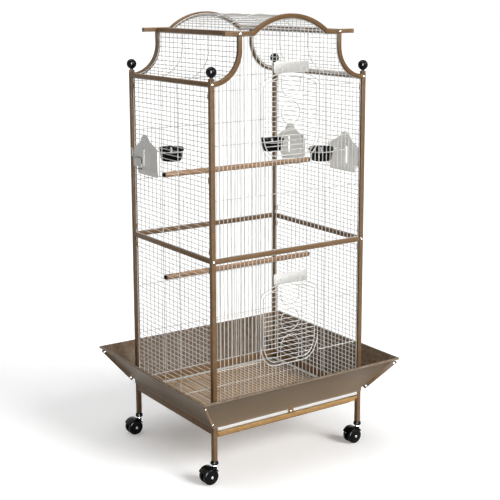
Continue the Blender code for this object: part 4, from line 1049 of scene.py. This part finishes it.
for level in ("upper", "lower"):
    node = "perch_" + level
    low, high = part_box(node)
    middle = (low + high) / 2
    rodEnd = halfX - wire["bar"] / 2 - perch["gap"]
    radius = perch["radius"]
    half = [(radius, rodEnd - perch["bevel"]), (radius - perch["bevel"], rodEnd), (0, rodEnd)]
    outline = [(r, -x) for r, x in reversed(half)] + half
    along = Matrix.Translation((0, middle.y, middle.z)) @ Matrix.Rotation(pi / 2, 4, "Y")
    mesh = partMesh(node, spunPart(outline, perch["segments"]), place=along)
    makePiece(node + "_dowel", mesh, "beech", "cage", node)
    work = bmesh.new()
    washer = rodEnd + 2 * (wire["bar"] / 2 + perch["gap"])
    face = washer + perch["washerSheet"]
    top = face + perch["headRise"]
    inside = rodEnd - perch["boltDepth"]
    rim = perch["washer"]
    eased = perch["washerEdge"]
    outline = [(0, inside), (perch["bolt"], inside), (perch["bolt"], washer), (rim, washer),
               (rim, face - eased), (rim - eased, face), (perch["head"], face),
               (perch["head"], top - perch["headRound"]), (perch["headFlat"], top), (0, top)]
    for side in (0, pi):
        bolt = spunPart(outline, perch["boltSegments"])
        addPart(work, bolt, along @ Matrix.Rotation(side, 4, "Y"))
    makePiece(node + "_bolts", toMesh(work, node), "black", "cage")
print("perches done")


# Clips that hold the side panels to the posts

clip = {"width": 0.0058, "height": 0.018, "inner": -0.0035, "outer": 0.0060, "edge": 0.0006,
        "gap": 0.0003, "heights": (midZ + 0.520, midZ + 0.259, midZ + 0.030, midZ - 0.030)}

work = bmesh.new()
for name in ("left", "right"):
    for side in (-1, 1):
        near = side * (halfY - postHalf - clip["gap"])
        far = near - side * clip["width"]
        for z in clip["heights"]:
            low = (min(near, far), z - clip["height"] / 2, clip["inner"])
            high = (max(near, far), z + clip["height"] / 2, clip["outer"])
            addPart(work, easedBox(low, high, clip["edge"], 2), faces[name])
makePiece("panel_clips", toMesh(work, "clips"), "bronze", "cage")


# Skirt: four flared sheets with a rolled rim, bolted together through flanges along the mitres

skirt = {"bottom": 0.199, "lip": 0.012, "rim": 0.3168, "reach": 0.1024, "sheet": 0.0012,
         "roll": 0.004, "curl": 290, "edge": 0.0004, "bend": 50, "postGap": 0.0003,
         "mitreGap": 0.0003, "flange": 0.012, "flangeLap": 0.0005, "flangeStart": 0.04,
         "flangeEnd": 0.935, "screwInset": 0.010}


def skirtSection():
    lipOut = postHalf + skirt["postGap"] + skirt["sheet"] / 2
    roll = skirt["roll"] - skirt["sheet"] / 2
    centre = Vector((skirt["reach"] - skirt["roll"], skirt["rim"] - skirt["roll"]))
    foot = Vector((lipOut, skirt["bottom"]))
    span = centre - foot
    heading = atan2(span.y, span.x) + asin(roll / span.length)
    run = sqrt(span.length ** 2 - roll ** 2)
    head = foot + Vector((cos(heading), sin(heading))) * run
    start = heading + pi / 2
    curl = arcPoints(tuple(centre), roll, start, start - radians(skirt["curl"]), 14)
    return [(lipOut, skirt["bottom"] - skirt["lip"]), tuple(foot)] + curl, foot, head


def skirtSide(name, half):
    section = skirtSection()[0]
    work = bmesh.new()
    bmesh.ops.create_grid(work, x_segments=1, y_segments=len(section) - 1, size=1)
    for vertex in work.verts:
        end = 1 if vertex.co.x > 0 else -1
        w, z = section[round((vertex.co.y + 1) / 2 * (len(section) - 1))]
        vertex.co = (end * (half + w - skirt["mitreGap"]), z, w)
    bmesh.ops.recalc_face_normals(work, faces=work.faces)
    node = "skirt_" + name
    mesh = toMesh(work, node, faces[name])
    item = makePiece(node + "_sheet", mesh, "skirt", "cage", node, sharp=30)
    wall = item.modifiers.new("wall", "SOLIDIFY")
    wall.thickness = skirt["sheet"]
    wall.offset = 0
    wall.use_even_offset = True
    soft = item.modifiers.new("soft", "BEVEL")
    soft.width = skirt["edge"]
    soft.segments = 2
    soft.limit_method = "ANGLE"
    soft.angle_limit = radians(skirt["bend"])


def skirtCorner(sideX, sideY, work):  # two flanges upright in the mitre, with two bolts
    foot, head = skirtSection()[1:]
    low = Vector((sideX * (halfX + foot.x), sideY * (halfY + foot.x), foot.y))
    high = Vector((sideX * (halfX + head.x), sideY * (halfY + head.x), head.y))
    along = (high - low).normalized()
    across = Vector((sideX, -sideY, 0)).normalized()
    outward = across.cross(along)
    if outward.z > 0:
        outward.negate()
    turn = Matrix((along, outward, along.cross(outward))).transposed().to_4x4()
    start = (high - low).length * skirt["flangeStart"]
    end = (high - low).length * skirt["flangeEnd"]
    place = Matrix.Translation(low) @ turn
    inner = skirt["mitreGap"] / 2
    outer = inner + skirt["sheet"]
    for side in (-1, 1):
        near, far = sorted((side * inner, side * outer))
        corners = ((start, -skirt["flangeLap"], near), (end, skirt["flange"], far))
        addPart(work, easedBox(*corners, skirt["edge"], 2), place)
        facing = Matrix.Rotation(0 if side > 0 else pi, 4, "X")
        for spot in (start + skirt["screwInset"], end - skirt["screwInset"]):
            middle = Matrix.Translation((spot, skirt["flange"] / 2, side * outer))
            screwParts(skirtHeads, skirtWashers, place @ middle @ facing)


skirtHeads = bmesh.new()
skirtWashers = bmesh.new()
flanges = bmesh.new()
for name, half in (("front", halfX), ("back", halfX), ("left", halfY), ("right", halfY)):
    skirtSide(name, half)
for sideX in (-1, 1):
    for sideY in (-1, 1):
        skirtCorner(sideX, sideY, flanges)
makePiece("skirt_flanges", toMesh(flanges, "flanges"), "bronze", "cage")
makePiece("skirt_screw_heads", toMesh(skirtHeads, "skirt_heads"), "chrome", "cage")
makePiece("skirt_screw_washers", toMesh(skirtWashers, "skirt_washers"), "black", "cage")
print("skirt done")


# Floor grille, its pull tab, the tray and the runners

grille = {"band": 0.014, "crossWires": 2, "barEdge": 0.0035, "bandEdge": 0.0006, "barDepth": 0.009,
          "sideGap": 0.0018, "rise": 0.0004, "crossInset": 0.004}

low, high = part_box("floor_grille")
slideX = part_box("tray_runners")[1].x - grille["sideGap"]
combZ = low.z + grille["rise"] + wire["bar"] / 2
backY = high.y
frontY = low.y + grille["barDepth"]
inner = slideX - grille["band"]
half = wire["bar"] / 2
places = evenPlaces(-inner - half, inner + half)
combY = backY - grille["band"] / 2
runs = [(wire["bar"], [(x, frontY, combZ), (x, combY, combZ)], False) for x in places]
crossZ = combZ + crossOut
crossX = slideX - grille["crossInset"]
for i in range(grille["crossWires"]):
    y = -halfY + (backY + halfY) * (i + 1) / (grille["crossWires"] + 1)
    runs.append((wire["cross"], [(-crossX, y, crossZ), (crossX, y, crossZ)], False))
wirePiece("floor_grille_wires", runs, "grille", "floor_grille")
sides = [(-slideX, -inner, frontY), (inner, slideX, frontY)]
bands = [easedBox((left, y, combZ - half), (right, backY, combZ + half), grille["bandEdge"], 2)
         for left, right, y in sides + [(-slideX, slideX, backY - grille["band"])]]
makePiece("floor_grille_bands", partMesh("bands", *bands), "band", "grille")
bar = easedBox(tuple(low), (high.x, frontY, high.z), grille["barEdge"], 5)
makePiece("floor_grille_bar", partMesh("bar", bar), "pearl", "grille")

pull = {"top": 0.016, "bottom": 0.026, "sheet": 0.0014, "edge": 0.0004, "rivet": 0.003,
        "rivetRise": 0.0012, "rivetDepth": 0.0032, "rivetHeight": 0.006, "segments": 20}
rivetZ = low.z + pull["rivetHeight"]
low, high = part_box("grille_pull_tab")
sheetOut = -low.y - halfY - pull["rivetRise"]
outline = [(-pull["top"] / 2, high.z), (-pull["bottom"] / 2, low.z), (pull["bottom"] / 2, low.z),
           (pull["top"] / 2, high.z)]
tab = sheetPart([outline], sheetOut - pull["sheet"], sheetOut, pull["edge"])
mesh = partMesh("tab", tab, place=faces["front"])
makePiece("pull_tab_sheet", mesh, "bronze", "grille", "grille_pull_tab")
shank = [(0, -pull["rivetDepth"]), (pull["rivet"], -pull["rivetDepth"])]
dome = domePoints(pull["rivet"], 0, pull["rivetRise"], 0, 6)
rivet = spunPart(shank + dome, pull["segments"])
mesh = partMesh("rivet", rivet, place=faces["front"] @ Matrix.Translation((0, rivetZ, sheetOut)))
makePiece("pull_tab_rivet", mesh, "chrome", "grille")

tray = {"wall": 0.0014, "wallEdge": 0.0004, "frontSheet": 0.003, "edge": 0.0007, "leftCut": 0.009,
        "rightCut": 0.035, "leftEnd": 0.008, "rightEnd": 0.006, "panStart": 0.0015, "rise": 0.0004,
        "lip": 0.0035, "lipOut": 0.0002, "lipIn": 0.001}
low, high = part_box("seed_tray")
front = -low.y - halfY
cutLeft = low.x + tray["leftCut"]
cutRight = high.x - tray["rightCut"]
outline = [(low.x, high.z), (low.x, high.z - tray["leftEnd"]), (cutLeft, low.z), (cutRight, low.z),
           (high.x, high.z - tray["rightEnd"]), (high.x, high.z)]
work = bmesh.new()
sheet = sheetPart([outline], front - tray["frontSheet"], front, tray["edge"])
addPart(work, sheet, faces["front"])
edgeLow = (cutLeft, low.y - tray["lipOut"], low.z)
edgeHigh = (cutRight, low.y + tray["lipIn"], low.z + tray["lip"])
edgeStrip = easedBox(edgeLow, edgeHigh, tray["wallEdge"], 2)
makePiece("seed_tray_edge", partMesh("edge", edgeStrip), "bronze", "tray")
floorZ = low.z + tray["rise"]
rimZ = high.z - tray["rise"]
panY = low.y + tray["panStart"]
insideX = slideX - tray["wall"]
for corners in (((-slideX, panY, floorZ), (slideX, high.y, floorZ + tray["wall"])),
                ((-slideX, panY, floorZ), (-insideX, high.y, rimZ)),
                ((insideX, panY, floorZ), (slideX, high.y, rimZ)),
                ((-slideX, high.y - tray["wall"], floorZ), (slideX, high.y, rimZ))):
    addPart(work, easedBox(*corners, tray["wallEdge"], 2))
makePiece("seed_tray_sheet", toMesh(work, "tray"), "tray", "tray", "seed_tray")

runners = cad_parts["tray_runners"]
runners.data.materials.clear()
runners.data.materials.append(finishes["bronze"][0])
print("grille, tray and runners done")


# Casters: twin wheels under a hood, on a plated stem

caster = {
    "trail": 0.022, "hoodGap": 0.0015, "hoodSheet": 0.002, "hoodReach": 62, "hoodEdge": 0.0008,
    "web": 0.012, "webRadius": 0.017, "webEdge": 0.0006, "webLap": 0.001, "gap": 0.0006,
    "neck": 0.007, "neckEdge": 0.0012, "neckLap": 0.0025, "collar": 0.0075, "collarEdge": 0.001,
    "collarRise": 0.023, "collarTall": 0.0055, "stem": 0.004, "stemFoot": 0.0096,
    "race": [(0, 0.0045), (0.0086, 0.0058), (0.0096, 0.0075), (0.0086, 0.0094)],
    "head": 0.0132, "headEdge": 0.003, "headRound": 0.002, "headFoot": 0.0098, "headSide": 0.0125,
    "postGap": 0.0003, "axle": 0.003, "axleLap": 0.001, "segments": 28, "headSegments": 32}
wheel = {"radius": 0.027, "width": 0.013, "inEdge": 0.0012, "round": 0.005, "dome": 0.0028,
         "domeRadius": 0.0215, "cap": 0.0045, "capDepth": 0.002, "capRise": 0.0008,
         "capSink": 0.0004, "segments": 48, "capSegments": 24, "axleSegments": 16}
onSide = Matrix(((1, 0, 0, 0), (0, 0, -1, 0), (0, 1, 0, 0), (0, 0, 0, 1)))  # an axle along Y
webHalf = caster["web"] / 2
wheelNear = webHalf + caster["gap"]
wheelFar = wheelNear + wheel["width"]
collarZ = wheel["radius"] + caster["collarRise"]


def hoodParts(work, place, post, foot):  # hood, web, neck, collar, and the head under the post
    centre = (-caster["trail"], wheel["radius"])
    inner = wheel["radius"] + caster["hoodGap"]
    outer = inner + caster["hoodSheet"]
    first = radians(90 - caster["hoodReach"])
    last = radians(90 + caster["hoodReach"])
    hood = arcPoints(centre, outer, first, last, 24) + arcPoints(centre, inner, last, first, 24)
    addPart(work, sheetPart([hood], -wheelFar, wheelFar, caster["hoodEdge"]), place)
    web = arcPoints(centre, inner + caster["webLap"], first, last, 24)
    web += arcPoints(centre, caster["webRadius"], last, first + 2 * pi, 20)
    hole = arcPoints(centre, caster["axle"] + caster["gap"], 0, 2 * pi, 16)[:-1]
    addPart(work, sheetPart([web, hole], -webHalf, webHalf, caster["webEdge"]), place)
    deep = webHalf - caster["webEdge"]
    neck = easedBox((-caster["neck"], wheel["radius"] + caster["webRadius"], -deep),
                    (caster["neck"], collarZ + caster["neckLap"], deep), caster["neckEdge"], 3)
    addPart(work, neck, place)
    r = caster["collar"]
    eased = caster["collarEdge"]
    tall = caster["collarTall"]
    collar = [(0, 0), (r - eased, 0), (r, eased), (r, tall - eased), (r - eased, tall), (0, tall)]
    seat = post @ Matrix.Translation((0, 0, collarZ))
    addPart(work, spunPart(collar, caster["segments"]), seat)
    wide = caster["head"]
    bottom = collarZ + caster["headFoot"]
    head = [(0, bottom), (wide - caster["headEdge"], bottom), (wide, collarZ + caster["headSide"]),
            (wide, foot - caster["headEdge"]), (wide - caster["headRound"], foot), (0, foot)]
    addPart(work, spunPart(head, caster["headSegments"]), post)


def stemPart(top):
    stem = caster["stem"]
    outline = [(radius, collarZ + height) for radius, height in caster["race"]]
    outline += [(stem, collarZ + caster["stemFoot"]), (stem, top), (0, top)]
    return spunPart(outline, caster["segments"])


def wheelParts(wheels, caps, hub):  # two tyres on one axle, each with a domed face and a plated cap
    radius = wheel["radius"]
    bend = wheel["round"]
    eased = wheel["inEdge"]
    outline = [(0, wheelNear), (radius - eased, wheelNear), (radius, wheelNear + eased),
               (radius, wheelFar - bend)]
    outline += arcPoints((radius - bend, wheelFar - bend), bend, 0, pi / 2, 6)[1:]
    outline += [(wheel["domeRadius"] * (1 - step), wheelFar + wheel["dome"] * (1 - (1 - step) ** 2))
                for step in steps(0, 1, 9)]
    crown = wheelFar + wheel["dome"]
    r = wheel["cap"]
    cap = [(0, crown - wheel["capDepth"]), (r, crown - wheel["capDepth"])]
    cap += domePoints(r, crown, wheel["capRise"], 0, 4)
    for turn in (0, pi):
        side = hub @ Matrix.Rotation(turn, 4, "Y")
        addPart(wheels, spunPart(outline, wheel["segments"]), side)
        seat = side @ Matrix.Translation((0, 0, -wheel["capSink"]))
        addPart(caps, spunPart(cap, wheel["capSegments"]), seat)
    end = wheelNear + caster["axleLap"]
    axle = [(0, -end), (caster["axle"], -end), (caster["axle"], end), (0, end)]
    addPart(wheels, spunPart(axle, wheel["axleSegments"]), hub)


def casterSet(mark, x, y):
    post = Matrix.Translation((x, y, 0))
    place = post @ onSide
    swivel = "swivel_" + mark
    work = bmesh.new()
    hoodParts(work, place, post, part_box("post_" + mark)[0].z - caster["postGap"])
    mesh = toMesh(work, "hood")
    makePiece(f"caster_{mark}_hood", mesh, "black", swivel, "caster_" + mark, sharp=35)
    stem = stemPart(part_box("caster_" + mark)[1].z)
    makePiece(f"caster_{mark}_stem", partMesh("stem", stem, place=post), "chrome", swivel)
    wheels = bmesh.new()
    caps = bmesh.new()
    wheelParts(wheels, caps, place @ Matrix.Translation((-caster["trail"], wheel["radius"], 0)))
    body = "twin_wheel_" + mark
    mesh = toMesh(wheels, "wheels")
    makePiece(f"wheel_{mark}_tread", mesh, "tyre", body, "wheel_" + mark, sharp=35)
    makePiece(f"wheel_{mark}_caps", toMesh(caps, "caps"), "chrome", body)


for mark, (x, y) in posts.items():
    casterSet(mark, x, y)
print("casters done")


# Floor, lights and camera

studio = {"floorSize": 60, "shade": 0.90, "glow": 0.25, "bounce": 0.46, "ambient": 0.07}
suns = {"soft_key": {"power": 3.3, "spread": 30, "from": (1.2, -2.8, 1.7)},
        "soft_top": {"power": 1.6, "spread": 55, "from": (-0.5, 0.5, 3.0)}}
strip = {"power": 2000, "width": 1.6, "height": 4.0, "from": (-2.5, -3.9, 2.1),
         "to": (0, 0, 0.8)}
view = {"place": (-2.1120, -3.1220, 1.5702), "yaw": 0.5981, "pitch": -0.1852, "roll": -0.0023,
        "lens": 79.89, "sensor": 36, "shiftX": 0.0, "shiftY": -0.10, "near": 0.1, "far": 100}


def seenDirectly(tree):  # 1 for the camera, gloss and glass, which all show the same white
    rays = addNode(tree, "LightPath")
    straight = maths(tree, "MAXIMUM", rays.outputs["Is Camera Ray"], rays.outputs["Is Glossy Ray"])
    return maths(tree, "MAXIMUM", straight, rays.outputs["Is Transmission Ray"])


def studioFloor():
    work = bmesh.new()
    bmesh.ops.create_grid(work, x_segments=1, y_segments=1, size=studio["floorSize"] / 2)
    mesh = toMesh(work, "studio_floor")
    material = bpy.data.materials.new("studio_floor")
    material.use_nodes = True
    tree = material.node_tree
    tree.nodes.clear()
    plain = addNode(tree, "BsdfDiffuse", {"Color": (studio["bounce"],) * 3 + (1,)})
    part = addNode(tree, "BsdfDiffuse", {"Color": (studio["shade"],) * 3 + (1,)})
    glow = addNode(tree, "Emission", {"Color": (1, 1, 1, 1), "Strength": studio["glow"]})
    seen = addNode(tree, "AddShader", {0: part.outputs[0], 1: glow.outputs[0]})
    blend = {0: seenDirectly(tree), 1: plain.outputs[0], 2: seen.outputs[0]}
    mix = addNode(tree, "MixShader", blend)
    addNode(tree, "OutputMaterial", {"Surface": mix.outputs[0]})
    mesh.materials.append(material)
    item = bpy.data.objects.new("studio_floor", mesh)
    visual.objects.link(item)


def studioWorld():
    world = bpy.data.worlds.new("studio")
    bpy.context.scene.world = world
    world.use_nodes = True
    tree = world.node_tree
    tree.nodes.clear()
    soft = addNode(tree, "Background", {"Color": (1, 1, 1, 1), "Strength": studio["ambient"]})
    white = addNode(tree, "Background", {"Color": (1, 1, 1, 1), "Strength": 1.0})
    blend = {0: seenDirectly(tree), 1: soft.outputs[0], 2: white.outputs[0]}
    mix = addNode(tree, "MixShader", blend)
    addNode(tree, "OutputWorld", {"Surface": mix.outputs[0]})


def hangLamp(lamp, place, target):
    item = bpy.data.objects.new(lamp.name, lamp)
    visual.objects.link(item)
    item.location = place
    item.rotation_euler = (Vector(target) - Vector(place)).to_track_quat("-Z", "Y").to_euler()
    return item


def studioLamps():
    for name, spec in suns.items():
        sun = bpy.data.lights.new(name, "SUN")
        sun.energy = spec["power"]
        sun.angle = radians(spec["spread"])
        hangLamp(sun, spec["from"], (0, 0, 0))
    lamp = bpy.data.lights.new("strip_box", "AREA")
    lamp.shape = "RECTANGLE"
    lamp.energy = strip["power"]
    lamp.size = strip["width"]
    lamp.size_y = strip["height"]
    item = hangLamp(lamp, strip["from"], strip["to"])
    item.visible_diffuse = False  # a highlight on gloss, no more light


def photoCamera():
    data = bpy.data.cameras.new("photo_view")
    data.lens = view["lens"]
    data.sensor_width = view["sensor"]
    data.shift_x = view["shiftX"]
    data.shift_y = view["shiftY"]
    data.clip_start = view["near"]
    data.clip_end = view["far"]
    item = bpy.data.objects.new("photo_view", data)
    visual.objects.link(item)
    turn = Matrix.Rotation(-view["yaw"], 4, "Z") @ Matrix.Rotation(pi / 2 + view["pitch"], 4, "X")
    turn = turn @ Matrix.Rotation(view["roll"], 4, "Z")
    item.matrix_world = Matrix.Translation(view["place"]) @ turn
    bpy.context.scene.camera = item


studioFloor()
studioWorld()
studioLamps()
photoCamera()
bpy.context.scene.view_settings.view_transform = "Standard"
print("studio done")
